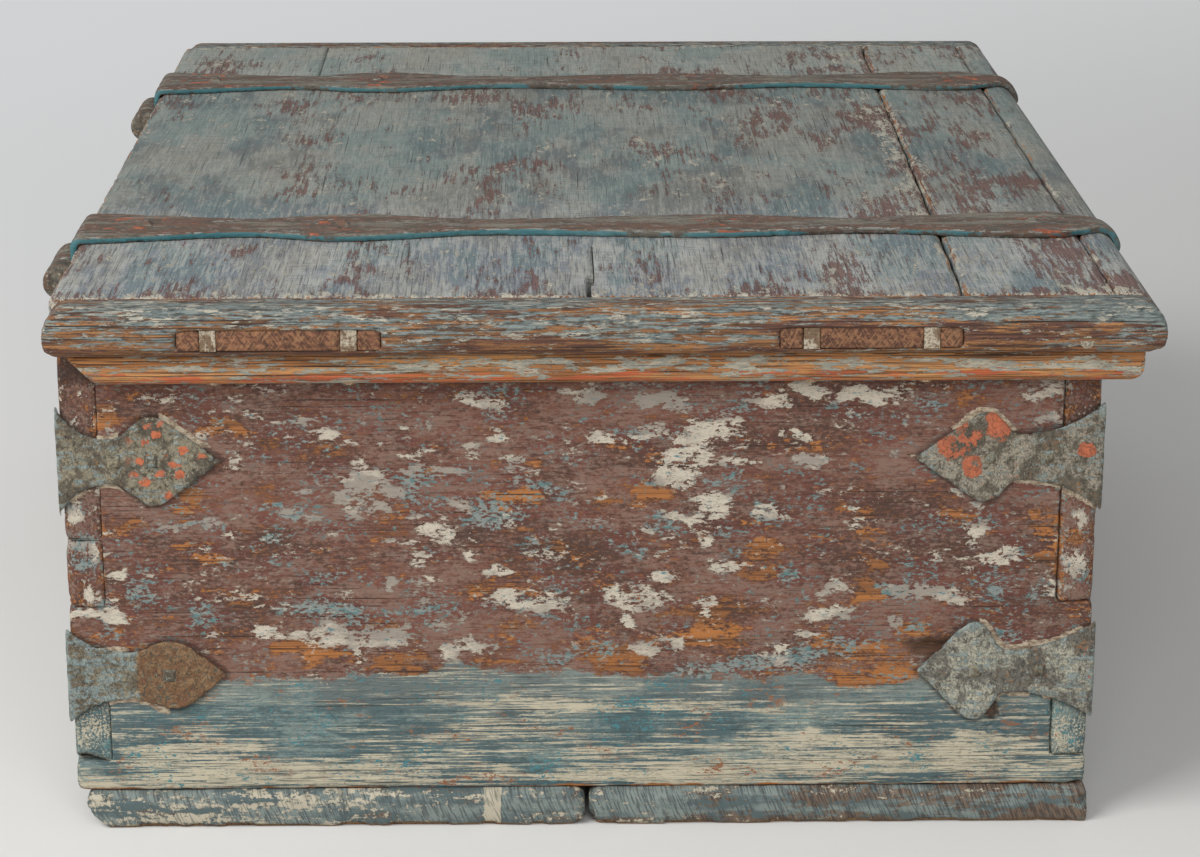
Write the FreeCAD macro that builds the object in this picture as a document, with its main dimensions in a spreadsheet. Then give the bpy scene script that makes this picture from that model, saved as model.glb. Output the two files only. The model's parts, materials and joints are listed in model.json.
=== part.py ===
import FreeCAD, Part
import math
import os

import Sketcher

# A low iron-bound pine chest: dovetailed box, nailed bottom, lid with cleated ends.
# +X runs along the chest, the front faces -Y, +Z is up and the floor is at zero.

V = FreeCAD.Vector

SIZES = {
    # Box
    "box_length": 686.0,
    "box_depth": 530.0,
    "wall_thickness": 19.0,
    "wall_height": 241.2,
    "half_pin_height": 16.0,
    "lower_tail_height": 64.0,
    "pin_height": 22.0,
    "tail_flare": 3.0,
    "back_seam_height": 139.3,
    "back_seam_gap": 0.5,
    "bottom_thickness": 19.0,
    "bottom_end_overhang": 6.0,
    "bottom_front_overhang": 1.0,
    "bottom_back_inset": 5.0,
    "bottom_seam_offset": 2.4,
    "bottom_seam_gap": 2.2,
    "bottom_nosing": 4.0,
    # Lid
    "lid_rest_gap": 0.3,
    "lid_thickness": 25.0,
    "lid_end_overhang": 24.0,
    "lid_front_overhang": 27.0,
    "lid_back_overhang": 3.0,
    "cleat_width": 26.0,
    "nose_top_radius": 12.0,
    "nose_under_radius": 8.0,
    "front_board_width": 79.0,
    "lid_seam_skew": 14.0,
    "lid_seam_gap": 0.6,
    "front_strip_width": 21.0,
    "rear_tenon_inset": 66.0,
    "rear_tenon_width": 102.0,
    "front_tenon_margin": 1.5,
    "front_tenon_width": 92.0,
    "tenon_thickness": 10.8,
    "tenon_rise": 4.0,
    "tenon_sink": 1.0,
    "wedge_inset": 16.0,
    "wedge_thickness": 8.0,
    "wedge_edge": 4.0,
    "wedge_length": 12.0,
    "near_split_offset": 272.0,
    "near_split_length": 40.0,
    "near_split_width": 3.0,
    "near_crack_shift": 3.0,
    "near_crack_start": 24.0,
    "near_crack_length": 78.0,
    "near_crack_width": 1.4,
    "far_split_offset": 100.0,
    "far_split_length": 110.0,
    "far_split_width": 1.4,
    # Skirt moulding under the lid's edge
    "skirt_height": 17.0,
    "skirt_gap": 1.5,
    "end_skirt_thickness": 12.5,
    "end_skirt_radius": 7.0,
    "front_skirt_thickness": 17.0,
    "front_skirt_radius": 8.0,
    "skirt_back_inset": 8.0,
    "skirt_back_rake": 17.0,
    "peg_radius": 3.5,
    "peg_depth": 14.0,
    "peg_inset": 17.0,
    "cleat_peg_inset": 40.0,
    "cleat_peg_rise": 7.0,
    # Strap hinges
    "strap_inset": 142.0,
    "strap_thickness": 4.0,
    "strap_bend_radius": 6.0,
    "strap_base_width": 58.0,
    "strap_neck_width": 31.0,
    "strap_lobe_width": 51.0,
    "strap_waist_width": 25.0,
    "strap_middle_lobe_width": 41.0,
    "strap_spade_width": 49.0,
    "strap_tip_width": 10.0,
    "strap_shoulder_radius": 14.0,
    "knuckle_radius": 9.5,
    "knuckle_length": 18.0,
    "knuckle_side_gap": 0.4,
    "knuckle_gap": 0.6,
    "pivot_rise": 3.5,
    "pin_radius": 4.5,
    "pin_clearance": 0.06,
    "pin_head_radius": 6.5,
    "pin_head_thickness": 2.5,
    "back_leaf_thickness": 4.0,
    "back_leaf_waist_width": 26.0,
    "back_leaf_lobe_width": 48.0,
    "back_leaf_reach": 44.3,
    "back_leaf_shoulder_radius": 12.0,
    # Corner irons, each bent round a corner into two like leaves
    "iron_thickness": 2.2,
    "upper_iron_height": 181.5,
    "lower_iron_height": 65.0,
    "back_upper_base": 61.0,
    "back_upper_waist": 24.0,
    "back_upper_lobe": 48.0,
    "back_upper_waist_reach": 25.0,
    "back_upper_lobe_reach": 46.0,
    "back_upper_reach": 82.0,
    "back_upper_shoulder_radius": 13.0,
    "front_upper_base": 59.0,
    "front_upper_waist": 25.0,
    "front_upper_lobe": 49.0,
    "front_upper_waist_reach": 41.0,
    "front_upper_lobe_reach": 57.0,
    "front_upper_reach": 95.0,
    "front_upper_shoulder_radius": 14.0,
    "back_lower_base": 53.0,
    "back_lower_waist": 26.0,
    "back_lower_lobe": 38.0,
    "back_lower_waist_reach": 31.0,
    "back_lower_lobe_reach": 51.0,
    "back_lower_reach": 81.0,
    "back_lower_shoulder_radius": 22.0,
    "front_lower_base": 56.0,
    "front_lower_waist": 24.0,
    "front_lower_lobe": 54.0,
    "front_lower_waist_reach": 44.0,
    "front_lower_lobe_reach": 60.0,
    "front_lower_reach": 91.0,
    "front_lower_shoulder_radius": 12.0,
    "iron_nail_reach": 27.0,
    "iron_nail_head_width": 7.0,
    "iron_nail_head_crown": 4.0,
    "iron_nail_head_height": 1.0,
    # Forged nails
    "nail_head_width": 8.0,
    "nail_head_crown": 3.0,
    "nail_head_height": 2.2,
    "nail_shank_width": 3.2,
    "nail_point_width": 1.2,
    "nail_length": 17.0,
    "bottom_nail_length": 45.0,
    "bottom_nail_sink": 0.3,
    # Lock on the inside of the front board
    "lock_length": 96.0,
    "lock_height": 58.0,
    "lock_depth": 20.0,
    "lock_wall": 2.0,
    "lock_flange": 14.0,
    "lock_drop": 5.0,
    "bolt_length": 44.0,
    "bolt_height": 8.0,
    "bolt_thickness": 6.0,
    "bolt_clearance": 0.3,
    "bolt_drop": 14.0,
    "bolt_tip_gap": 3.5,
    "bolt_back_gap": 6.0,
    "bolt_notch_width": 9.0,
    "bolt_notch_depth": 2.5,
    "rail_thickness": 3.0,
    "staple_offset": 12.0,
    "staple_width": 5.0,
    "staple_side": 3.0,
    "staple_clearance": 1.5,
    "eye_clearance": 1.2,
    "staple_plate_length": 44.0,
    "staple_plate_thickness": 2.2,
    "key_drop": 9.0,
    "keyhole_radius": 4.5,
    "keyhole_slot_width": 6.0,
    "keyhole_slot_length": 14.0,
    # How far cutting tools run past the faces they cut
    "overrun": 2.0,
}

STRAP_NECK_SHARE = 0.16
STRAP_LOBE_SHARE = 0.25
STRAP_WAIST_SHARE = 0.40
STRAP_MIDDLE_LOBE_SHARE = 0.61
STRAP_LAST_WAIST_SHARE = 0.74
STRAP_SPADE_SHARE = 0.934
STRAP_NAIL_SHARES = (0.06, STRAP_LOBE_SHARE, STRAP_MIDDLE_LOBE_SHARE, 0.92)
BACK_LEAF_ROOT_SHARE = 0.16
BACK_LEAF_WAIST_SHARE = 0.42
BACK_LEAF_LOBE_SHARE = 0.78
BACK_LEAF_NAIL_SHARES = (0.24, BACK_LEAF_LOBE_SHARE)
WAVE_BEND_SHARE = 0.3
SLOPE_PRECISION = 1e-9
PEG_SIDES = 8
STUD_SIDES = 8
FRONT_PEG_SHARES = (0.07, 0.36, 0.64, 0.93)
BOTTOM_END_NAIL_SHARES = (0.1, 0.3, 0.7, 0.9)
BOTTOM_SIDE_NAIL_SHARES = (0.2, 0.5, 0.8)

doc = FreeCAD.newDocument("blanket_chest")
sheet = doc.addObject("Spreadsheet::Sheet", "sizes")
for row, (name, value) in enumerate(SIZES.items(), start=1):
    sheet.set(f"A{row}", name)
    sheet.set(f"B{row}", str(value))
    sheet.setAlias(f"B{row}", name)
doc.recompute()

nodes = []


class Size:
    """A length: its value in millimetres and the sheet expression that gives it."""

    def __init__(self, value, text):
        self.value = value
        self.text = text

    def __add__(self, other):
        other = as_size(other)
        return Size(self.value + other.value, f"({self.text} + {other.text})")

    def __sub__(self, other):
        other = as_size(other)
        return Size(self.value - other.value, f"({self.text} - {other.text})")

    def __neg__(self):
        return Size(-self.value, f"(-{self.text})")

    def __mul__(self, factor):
        return Size(self.value * factor, f"({self.text} * {factor})")

    def __truediv__(self, divisor):
        return Size(self.value / divisor, f"({self.text} / {divisor})")


def as_size(number):
    """A plain zero, or a Size as it is."""
    return number if isinstance(number, Size) else Size(float(number), f"({number})")


def size(name):
    """The named driving size."""
    return Size(sheet.get(name), f"sizes.{name}")


def bind(thing, **sizes):
    """Tie properties of a document object to the sheet."""
    for name, length in sizes.items():
        thing.setExpression(name, as_size(length).text)
    return thing


def place(thing, x=0, y=0, z=0):
    """Tie an object's position to the sheet."""
    for axis, length in zip("xyz", (x, y, z)):
        thing.setExpression(f"Placement.Base.{axis}", as_size(length).text)
    return thing


def keep(thing, name):
    """Make an object one of the chest's pieces."""
    thing.Label = name
    nodes.append(thing)
    return thing


def box(name, x, y, z):
    """A box between (low, high) pairs of sizes along each axis."""
    made = doc.addObject("Part::Box", name)
    low = [as_size(pair[0]) for pair in (x, y, z)]
    spans = [as_size(pair[1]) - pair[0] for pair in (x, y, z)]
    bind(made, Length=spans[0], Width=spans[1], Height=spans[2])
    return place(made, *low)


def rod(name, radius, start, end, y, z):
    """A round bar along X from start to end."""
    made = doc.addObject("Part::Cylinder", name)
    bind(made, Radius=radius, Height=as_size(end) - start)
    made.Placement = FreeCAD.Placement(V(), FreeCAD.Rotation(V(0, 1, 0), 90))
    return place(made, start, y, z)


def stud(name, radius, start, end, y, z):
    """A forged head of eight sides along X from start to end."""
    made = doc.addObject("Part::Prism", name)
    made.Polygon = STUD_SIDES
    bind(made, Circumradius=radius, Height=as_size(end) - start)
    made.Placement = FreeCAD.Placement(V(), FreeCAD.Rotation(V(0, 1, 0), 90))
    return place(made, start, y, z)


def fuse(name, *shapes):
    made = doc.addObject("Part::MultiFuse", name)
    made.Shapes = list(shapes)
    made.Refine = True
    return made


def cut(name, base, *tools):
    made = doc.addObject("Part::Cut", name)
    made.Base = base
    made.Tool = tools[0] if len(tools) == 1 else fuse(name + "_tools", *tools)
    made.Refine = True
    return made


def common(name, first, second):
    made = doc.addObject("Part::Common", name)
    made.Base = first
    made.Tool = second
    made.Refine = True
    return made


def mirror(name, source):
    """The same piece at the other end of the chest."""
    made = doc.addObject("Part::Mirroring", name)
    made.Source = source
    made.Normal = V(1, 0, 0)
    made.Base = V()
    return made


def group(name, shapes):
    """Separate like solids kept together as one piece."""
    made = doc.addObject("Part::Feature", name)
    made.Shape = Part.makeCompound(shapes)
    return made


class Outline:
    """A closed outline in a sketch, with every corner tied to the sheet."""

    def __init__(self, sketch, x, y):
        self.sketch = sketch
        self.begin = (as_size(x), as_size(y))
        self.pen = self.begin
        self.first = None
        self.last = None

    def join(self, *words):
        return self.sketch.addConstraint(Sketcher.Constraint(*words))

    def fix(self, geometry, end, point):
        """Hold one end of a line or arc at a point."""
        for axis, length in zip(("DistanceX", "DistanceY"), point):
            index = self.join(axis, -1, 1, geometry, end, length.value)
            self.sketch.setExpression(f"Constraints[{index}]", length.text)

    def link(self, geometry, start, end, point=None):
        """Chain a new line or arc on, ending at a point or where a tangent leaves it."""
        if self.last is None:
            self.first = (geometry, start)
            self.fix(geometry, start, self.begin)
        else:
            self.join("Coincident", *self.last, geometry, start)
        self.last = (geometry, end)
        if point is not None:
            self.fix(geometry, end, point)
            self.pen = point

    def line(self, x, y):
        point = (as_size(x), as_size(y))
        made = self.sketch.addGeometry(Part.LineSegment(flat(self.pen), flat(point)), False)
        self.link(made, 1, 2, point)
        return made

    def add_arc(self, centre, start, end):
        """The short arc between two points, with the numbers of its start and end."""
        circle = Part.Circle(centre, V(0, 0, 1), (start - centre).Length)
        turn = (start - centre).cross(end - centre).z
        ends = (start, end) if turn > 0 else (end, start)
        angles = [math.atan2(p.y - centre.y, p.x - centre.x) for p in ends]
        if angles[1] < angles[0]:
            angles[1] += 2 * math.pi
        made = self.sketch.addGeometry(Part.ArcOfCircle(circle, *angles), False)
        return (made, 1, 2) if turn > 0 else (made, 2, 1)

    def arc(self, x, y, runs, at_start):
        """An arc to a point, running along x or y at its start or else at its end."""
        point = (as_size(x), as_size(y))
        start, end = flat(self.pen), flat(point)
        square, other = (start, end) if at_start else (end, start)
        step = other - square
        if runs == "x":
            centre = square + V(0, step.Length ** 2 / (2 * step.y), 0)
        else:
            centre = square + V(step.Length ** 2 / (2 * step.x), 0, 0)
        made, first, last = self.add_arc(centre, start, end)
        self.link(made, first, last, point)
        level = "Vertical" if runs == "x" else "Horizontal"
        self.join(level, made, 3, made, first if at_start else last)

    def wave(self, x, y, runs):
        """An S to a point, running along x or y at both ends: like bends and a straight flank."""
        point = (as_size(x), as_size(y))
        start, end = flat(self.pen), flat(point)
        axis = 0 if runs == "x" else 1
        along = V(1, 0, 0) if runs == "x" else V(0, 1, 0)
        across = V(0, 1, 0) if runs == "x" else V(1, 0, 0)
        run = (end - start).dot(along)
        rise = (end - start).dot(across)
        slope = flank_slope(abs(rise / run))
        radius = across * math.copysign(WAVE_BEND_SHARE * run / math.sin(slope), rise)
        bent = along * (WAVE_BEND_SHARE * run) + radius * (1 - math.cos(slope))

        bend, first, last = self.add_arc(start + radius, start, start + bent)
        self.link(bend, first, last)
        flank = self.sketch.addGeometry(Part.LineSegment(start + bent, end - bent), False)
        self.join("Tangent", bend, last, flank, 1)
        again, second, final = self.add_arc(end - radius, end - bent, end)
        self.join("Tangent", flank, 2, again, second)
        self.last = (again, final)
        self.fix(again, final, point)
        self.join("Equal", bend, again)
        level = "Vertical" if runs == "x" else "Horizontal"
        self.join(level, bend, 3, bend, first)
        self.join(level, again, 3, again, final)
        reach = self.pen[axis] + (point[axis] - self.pen[axis]) * WAVE_BEND_SHARE
        index = self.join("DistanceX" if runs == "x" else "DistanceY", -1, 1, bend, last, reach.value)
        self.sketch.setExpression(f"Constraints[{index}]", reach.text)
        self.pen = point

    def shoulder(self, lobe, tip, radius, runs, leaving):
        """A round shoulder at a lobe and the straight edge from it to the tip."""
        top, point = flat(lobe), flat(tip)
        inward = V(0, -1, 0) if runs == "x" else V(-1, 0, 0)
        side = top.y if runs == "x" else top.x
        centre = top + inward * math.copysign(radius.value, side)
        reach = point - centre
        spread = math.acos(radius.value / reach.Length)
        unit = reach * (radius.value / reach.Length)
        touches = [centre + FreeCAD.Rotation(V(0, 0, 1), math.degrees(turn)).multVec(unit)
                   for turn in (spread, -spread)]
        touch = min(touches, key=lambda p: (p - top).Length)
        if leaving:
            bend, first, last = self.add_arc(centre, top, touch)
            self.link(bend, first, last)
            edge = self.sketch.addGeometry(Part.LineSegment(touch, point), False)
            self.join("Tangent", bend, last, edge, 1)
            self.last = (edge, 2)
            self.fix(edge, 2, tip)
        else:
            edge = self.sketch.addGeometry(Part.LineSegment(point, touch), False)
            self.link(edge, 1, 2)
            bend, first, last = self.add_arc(centre, touch, top)
            self.join("Tangent", edge, 2, bend, first)
            self.last = (bend, last)
            self.fix(bend, last, lobe)
        self.pen = tip if leaving else lobe
        level = "Vertical" if runs == "x" else "Horizontal"
        self.join(level, bend, 3, bend, first if leaving else last)
        index = self.join("Radius", bend, radius.value)
        self.sketch.setExpression(f"Constraints[{index}]", radius.text)

    def close(self):
        """Back to the start along a straight edge."""
        made = self.sketch.addGeometry(Part.LineSegment(flat(self.pen), flat(self.begin)), False)
        self.link(made, 1, 2)
        self.join("Coincident", *self.last, *self.first)


def flat(point):
    return V(point[0].value, point[1].value, 0)


def flank_slope(steepness):
    """The angle of a wave's flank, from the wave's rise over its run."""
    low, high = 0, math.pi / 2
    while high - low > SLOPE_PRECISION:
        slope = (low + high) / 2
        bends = 2 * WAVE_BEND_SHARE * math.tan(slope / 2)
        if bends + (1 - 2 * WAVE_BEND_SHARE) * math.tan(slope) < steepness:
            low = slope
        else:
            high = slope
    return slope


def polygon(sketch, points):
    outline = Outline(sketch, *points[0])
    for point in points[1:]:
        outline.line(*point)
    outline.close()


def body(name):
    return doc.addObject("PartDesign::Body", name)


def sketch_on(owner, plane, name):
    """A sketch on one of a body's own origin planes."""
    made = owner.newObject("Sketcher::SketchObject", name)
    support = next(f for f in owner.Origin.OriginFeatures if f.Role == plane)
    made.AttachmentSupport = [(support, "")]
    made.MapMode = "FlatFace"
    return made


def pad(owner, sketch, length, back=False):
    made = owner.newObject("PartDesign::Pad", sketch.Name + "_pad")
    made.Profile = sketch
    made.Reversed = back
    return bind(made, Length=length)


# Planes and edges that the pieces share
wall = size("wall_thickness")
half_length = size("box_length") / 2
half_depth = size("box_depth") / 2
wall_base = size("bottom_thickness")
wall_top = wall_base + size("wall_height")
lid_under = wall_top + size("lid_rest_gap")
lid_top = lid_under + size("lid_thickness")
lid_back = half_depth + size("lid_back_overhang")
lid_front = -(half_depth + size("lid_front_overhang"))
lid_depth = lid_back - lid_front
lid_end = half_length + size("lid_end_overhang")
board_end = lid_end - size("cleat_width")
lid_seam = lid_front + size("front_strip_width") + size("front_board_width")
back_seam = wall_base + size("back_seam_height")
overrun = size("overrun")


def along_lid(share):
    """A place between the lid's back edge, at 0, and its front edge, at 1."""
    return lid_back - lid_depth * share


def tail_outline(sketch, top):
    """A long wall with two dovetails at each end, up to the given height."""
    low = wall_base
    lower = low + size("half_pin_height")
    pin_low = lower + size("lower_tail_height")
    pin_high = pin_low + size("pin_height")
    flare = size("tail_flare")
    root = half_length - wall
    right = [
        (root, low),
        (root, lower + flare),
        (half_length, lower),
        (half_length, pin_low),
        (root, pin_low - flare),
        (root, pin_high + flare),
        (half_length, pin_high),
        (half_length, top),
    ]
    polygon(sketch, right + [(-x, z) for x, z in reversed(right)])


# Lock places, from the top edge of the front board's inner face
lock_back = -half_depth + wall
lock_front = lock_back + size("lock_depth")
lock_top = wall_top - size("lock_drop")
bolt_top = wall_top - size("bolt_drop")
bolt_low = bolt_top - size("bolt_height")
key_level = bolt_low - size("key_drop")
bolt_back = lock_back + size("bolt_back_gap")
bolt_front = bolt_back + size("bolt_thickness")
staple_left = size("staple_offset") - size("staple_width") / 2
staple_right = size("staple_offset") + size("staple_width") / 2


def keyhole(sketch):
    """A round hole with a slot below it."""
    radius = size("keyhole_radius")
    half_slot = size("keyhole_slot_width") / 2
    foot = key_level - size("keyhole_slot_length")
    outline = Outline(sketch, half_slot, foot)
    outline.line(half_slot, key_level)
    outline.line(radius, key_level)
    outline.arc(0, key_level + radius, "y", at_start=True)
    outline.arc(-radius, key_level, "y", at_start=False)
    outline.line(-half_slot, key_level)
    outline.line(-half_slot, foot)
    outline.close()


def long_walls():
    """Front wall of one board with a keyhole, back wall of two boards."""
    front = body("front_board")
    face = sketch_on(front, "XZ_Plane", "front_face")
    tail_outline(face, wall_top)
    keyhole(face)
    pad(front, face, wall)
    place(front, y=-half_depth + wall)

    lower = body("back_lower_board")
    face = sketch_on(lower, "XZ_Plane", "back_lower_face")
    tail_outline(face, back_seam - size("back_seam_gap"))
    pad(lower, face, wall)
    place(lower, y=half_depth)
    upper = box("back_upper_board", (-half_length, half_length), (half_depth - wall, half_depth),
                (back_seam, wall_top))
    return [keep(piece, piece.Name) for piece in (front, lower, upper)]


def end_walls(long_boards):
    """End boards, with sockets that the long walls' dovetails fill."""
    blank = box("end_blank", (-half_length, wall - half_length), (-half_depth, half_depth),
                (wall_base, wall_top))
    left = keep(cut("left_end_board", blank, *long_boards), "left_end_board")
    keep(mirror("right_end_board", left), "right_end_board")


def bottom_boards():
    """Two boards nailed up under the walls, rounded along their ends."""
    reach = half_length + size("bottom_end_overhang")
    nosing = size("bottom_nosing")
    seam = -size("bottom_seam_offset")
    half_gap = size("bottom_seam_gap") / 2
    edges = {
        "bottom_back_board": (half_depth - size("bottom_back_inset"), seam + half_gap),
        "bottom_front_board": (seam - half_gap, -half_depth - size("bottom_front_overhang")),
    }
    for name, (back, front) in edges.items():
        made = body(name)
        side = sketch_on(made, "XZ_Plane", name + "_side")
        outline = Outline(side, -reach, 0)
        outline.line(reach, 0)
        outline.line(reach, wall_base - nosing)
        outline.arc(reach - nosing, wall_base, "y", at_start=True)
        outline.line(nosing - reach, wall_base)
        outline.arc(-reach, wall_base - nosing, "x", at_start=True)
        outline.close()
        pad(made, side, back - front)
        place(made, y=back)
        keep(made, name)


def nose(outline, edge, top, under, facing):
    """Round a board's edge from its top face down to its underside."""
    upper = size("nose_top_radius")
    lower = size("nose_under_radius")
    outline.line(edge - upper * facing, top)
    outline.arc(edge, top - upper, "x", at_start=True)
    outline.line(edge, under + lower)
    outline.arc(edge - lower * facing, under, "y", at_start=True)


def tenon_spans():
    """Where the two through tenons lie between back and front."""
    rear = lid_back - size("rear_tenon_inset")
    front = lid_seam + size("front_tenon_margin")
    return {
        "rear": (rear - size("rear_tenon_width"), rear),
        "front": (front, front + size("front_tenon_width")),
    }


def tenon_bars(kind, end):
    """Bars through the whole lid where the tenons lie, out to the given end."""
    low = lid_under + size("tenon_rise")
    return [box(f"{name}_{kind}", (-end, end), span, (low, low + size("tenon_thickness")))
            for name, span in tenon_spans().items()]


def tenon_wedges():
    """Wedges driven into each tenon's end to spread it in its mortise."""
    thick = size("wedge_thickness").value / 2
    thin = size("wedge_edge").value / 2
    low = (lid_under + size("tenon_rise")).value
    root = (lid_end - size("tenon_sink")).value
    tip = root - size("wedge_length").value
    shapes = []
    for front, back in tenon_spans().values():
        for middle in (front + size("wedge_inset"), back - size("wedge_inset")):
            y = middle.value
            points = [V(root, y - thick, low), V(tip, y - thin, low),
                      V(tip, y + thin, low), V(root, y + thick, low)]
            face = Part.Face(Part.makePolygon(points + points[:1]))
            wedge = face.extrude(V(0, 0, size("tenon_thickness").value))
            shapes += [wedge, wedge.mirror(V(), V(1, 0, 0))]
    return keep(group("tenon_wedges", shapes), "tenon_wedges")


def split(name, end, offset, length, width):
    """A drying split that opens from one end of the main board."""
    made = body(name)
    face = sketch_on(made, "XY_Plane", name + "_face")
    middle = lid_back - offset
    past = end + overrun * math.copysign(1, end.value)
    root = end - length * math.copysign(1, end.value)
    polygon(face, [(past, middle - width / 2), (root, middle), (past, middle + width / 2)])
    pad(made, face, size("lid_thickness") + overrun * 2)
    return place(made, z=lid_under - overrun)


def crack():
    """A closed crack in the main board that overlaps the near split, a little beside it."""
    made = body("near_crack")
    face = sketch_on(made, "XY_Plane", "near_crack_face")
    line = lid_back - size("near_split_offset") - size("near_crack_shift")
    start = size("near_crack_start") - board_end
    end = start + size("near_crack_length")
    half = size("near_crack_width") / 2
    polygon(face, [(start, line), ((start + end) / 2, line - half), (end, line), ((start + end) / 2, line + half)])
    pad(made, face, size("lid_thickness") + overrun * 2)
    return place(made, z=lid_under - overrun)


def lid_boards():
    """Main board with through tenons, front board and rounded front strip."""
    seam_right = lid_seam - size("lid_seam_skew")
    gap = size("lid_seam_gap")
    strip_back = lid_front + size("front_strip_width")

    main = body("main_board_blank")
    face = sketch_on(main, "XY_Plane", "main_board_face")
    polygon(face, [(-board_end, lid_seam), (board_end, seam_right),
                   (board_end, lid_back), (-board_end, lid_back)])
    pad(main, face, size("lid_thickness"))
    place(main, z=lid_under)
    near = split("near_split", -board_end, size("near_split_offset"),
                 size("near_split_length"), size("near_split_width"))
    far = split("far_split", board_end, size("far_split_offset"),
                size("far_split_length"), size("far_split_width"))
    whole = fuse("main_board_tenoned", main, *tenon_bars("tenon", lid_end - size("tenon_sink")))
    keep(cut("lid_main_board", whole, near, crack(), far, tenon_wedges()), "lid_main_board")

    front = body("lid_front_board")
    face = sketch_on(front, "XY_Plane", "front_board_face")
    polygon(face, [(-board_end, strip_back + gap), (board_end, strip_back + gap),
                   (board_end, seam_right - gap), (-board_end, lid_seam - gap)])
    pad(front, face, size("lid_thickness"))
    keep(place(front, z=lid_under), "lid_front_board")

    strip = body("lid_front_strip")
    profile = sketch_on(strip, "YZ_Plane", "front_strip_profile")
    outline = Outline(profile, strip_back, lid_under)
    outline.line(strip_back, lid_top)
    nose(outline, lid_front, lid_top, lid_under, -1)
    outline.close()
    pad(strip, profile, board_end * 2)
    keep(place(strip, x=-board_end), "lid_front_strip")


def cleats():
    """Cleats across the lid's ends, rounded all along and mortised for the tenons."""
    bar = body("cleat_bar")
    profile = sketch_on(bar, "XZ_Plane", "cleat_profile")
    outline = Outline(profile, -board_end, lid_under)
    outline.line(-board_end, lid_top)
    nose(outline, -lid_end, lid_top, lid_under, -1)
    outline.close()
    pad(bar, profile, lid_depth)
    place(bar, y=lid_back)

    ends = body("cleat_ends")
    profile = sketch_on(ends, "YZ_Plane", "cleat_ends_profile")
    upper = size("nose_top_radius")
    lower = size("nose_under_radius")
    outline = Outline(profile, lid_back - lower, lid_under)
    outline.arc(lid_back, lid_under + lower, "x", at_start=True)
    outline.line(lid_back, lid_top - upper)
    outline.arc(lid_back - upper, lid_top, "y", at_start=True)
    nose(outline, lid_front, lid_top, lid_under, -1)
    outline.close()
    pad(ends, profile, size("cleat_width"))
    place(ends, x=-lid_end)

    blank = common("cleat_blank", bar, ends)
    left = keep(cut("left_cleat", blank, *tenon_bars("mortise", lid_end + overrun)), "left_cleat")
    keep(mirror("right_cleat", left), "right_cleat")


def skirts():
    """Moulding pegged up under the lid's front and ends, clear of the box."""
    low = lid_under - size("skirt_height")
    gap = size("skirt_gap")
    inner = half_length + gap
    outer = inner + size("end_skirt_thickness")
    front_inner = -half_depth - gap
    front_outer = front_inner - size("front_skirt_thickness")
    back = lid_back - size("skirt_back_inset")

    bar = body("skirt_bar")
    profile = sketch_on(bar, "XZ_Plane", "skirt_profile")
    outline = Outline(profile, -inner, low)
    outline.line(-inner, lid_under)
    outline.line(-outer, lid_under)
    outline.line(-outer, low + size("end_skirt_radius"))
    outline.arc(size("end_skirt_radius") - outer, low, "y", at_start=True)
    outline.close()
    pad(bar, profile, back - front_outer)
    place(bar, y=back)

    ends = body("skirt_ends")
    profile = sketch_on(ends, "YZ_Plane", "skirt_ends_profile")
    outline = Outline(profile, back - size("skirt_back_rake"), low)
    outline.line(back, lid_under)
    outline.line(front_outer, lid_under)
    outline.line(front_outer, low + size("front_skirt_radius"))
    outline.arc(front_outer + size("front_skirt_radius"), low, "y", at_start=True)
    outline.close()
    pad(ends, profile, size("end_skirt_thickness"))
    place(ends, x=-outer)
    left = keep(common("left_skirt", bar, ends), "left_skirt")
    keep(mirror("right_skirt", left), "right_skirt")

    front = body("front_skirt")
    profile = sketch_on(front, "YZ_Plane", "front_skirt_profile")
    outline = Outline(profile, front_inner, low)
    outline.line(front_inner, lid_under)
    outline.line(front_outer, lid_under)
    outline.line(front_outer, low + size("front_skirt_radius"))
    outline.arc(front_outer + size("front_skirt_radius"), low, "y", at_start=True)
    outline.close()
    pad(front, profile, inner * 2)
    keep(place(front, x=-inner), "front_skirt")
    pegs(low, (inner + outer) / 2, (front_inner + front_outer) / 2)


def pegs(low, end_line, front_line):
    """Pegs up through the skirts and tenons, and one through each cleat's face."""
    rise = (size("skirt_height") + size("peg_depth")).value
    inset = size("peg_inset")
    lines = [line for front, back in tenon_spans().values() for line in (front + inset, back - inset)]
    spots = [V(side * end_line.value, line.value, low.value) for side in (-1, 1) for line in lines]
    spots += [V((size("box_length") * (share - 0.5)).value, front_line.value, low.value)
              for share in FRONT_PEG_SHARES]
    keep(group("skirt_pegs", [peg(rise, spot, V(0, 0, 1)) for spot in spots]), "skirt_pegs")

    depth = (size("cleat_width") + size("peg_depth")).value
    y = (lid_front + size("cleat_peg_inset")).value
    z = (lid_under + size("cleat_peg_rise")).value
    shapes = [peg(depth, V(side * lid_end.value, y, z), V(-side, 0, 0)) for side in (-1, 1)]
    keep(group("cleat_pegs", shapes), "cleat_pegs")


def peg(length, start, inward):
    """A whittled peg of eight sides, driven inwards from a point."""
    radius = size("peg_radius").value
    turns = [math.pi * (2 * side + 1) / PEG_SIDES for side in range(PEG_SIDES)]
    corners = [V(radius * math.cos(turn), radius * math.sin(turn), 0) for turn in turns]
    made = Part.Face(Part.makePolygon(corners + corners[:1])).extrude(V(0, 0, length))
    made.Placement = FreeCAD.Placement(start, FreeCAD.Rotation(V(0, 0, 1), inward))
    return made


def taper(width, end_width, length):
    """A square taper about the Y axis, from the XZ plane along +Y."""
    half = width / 2
    end_half = end_width / 2
    return Part.makeWedge(-half, 0, -half, -end_half, -end_half, half, length, half, end_half, end_half)


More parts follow.
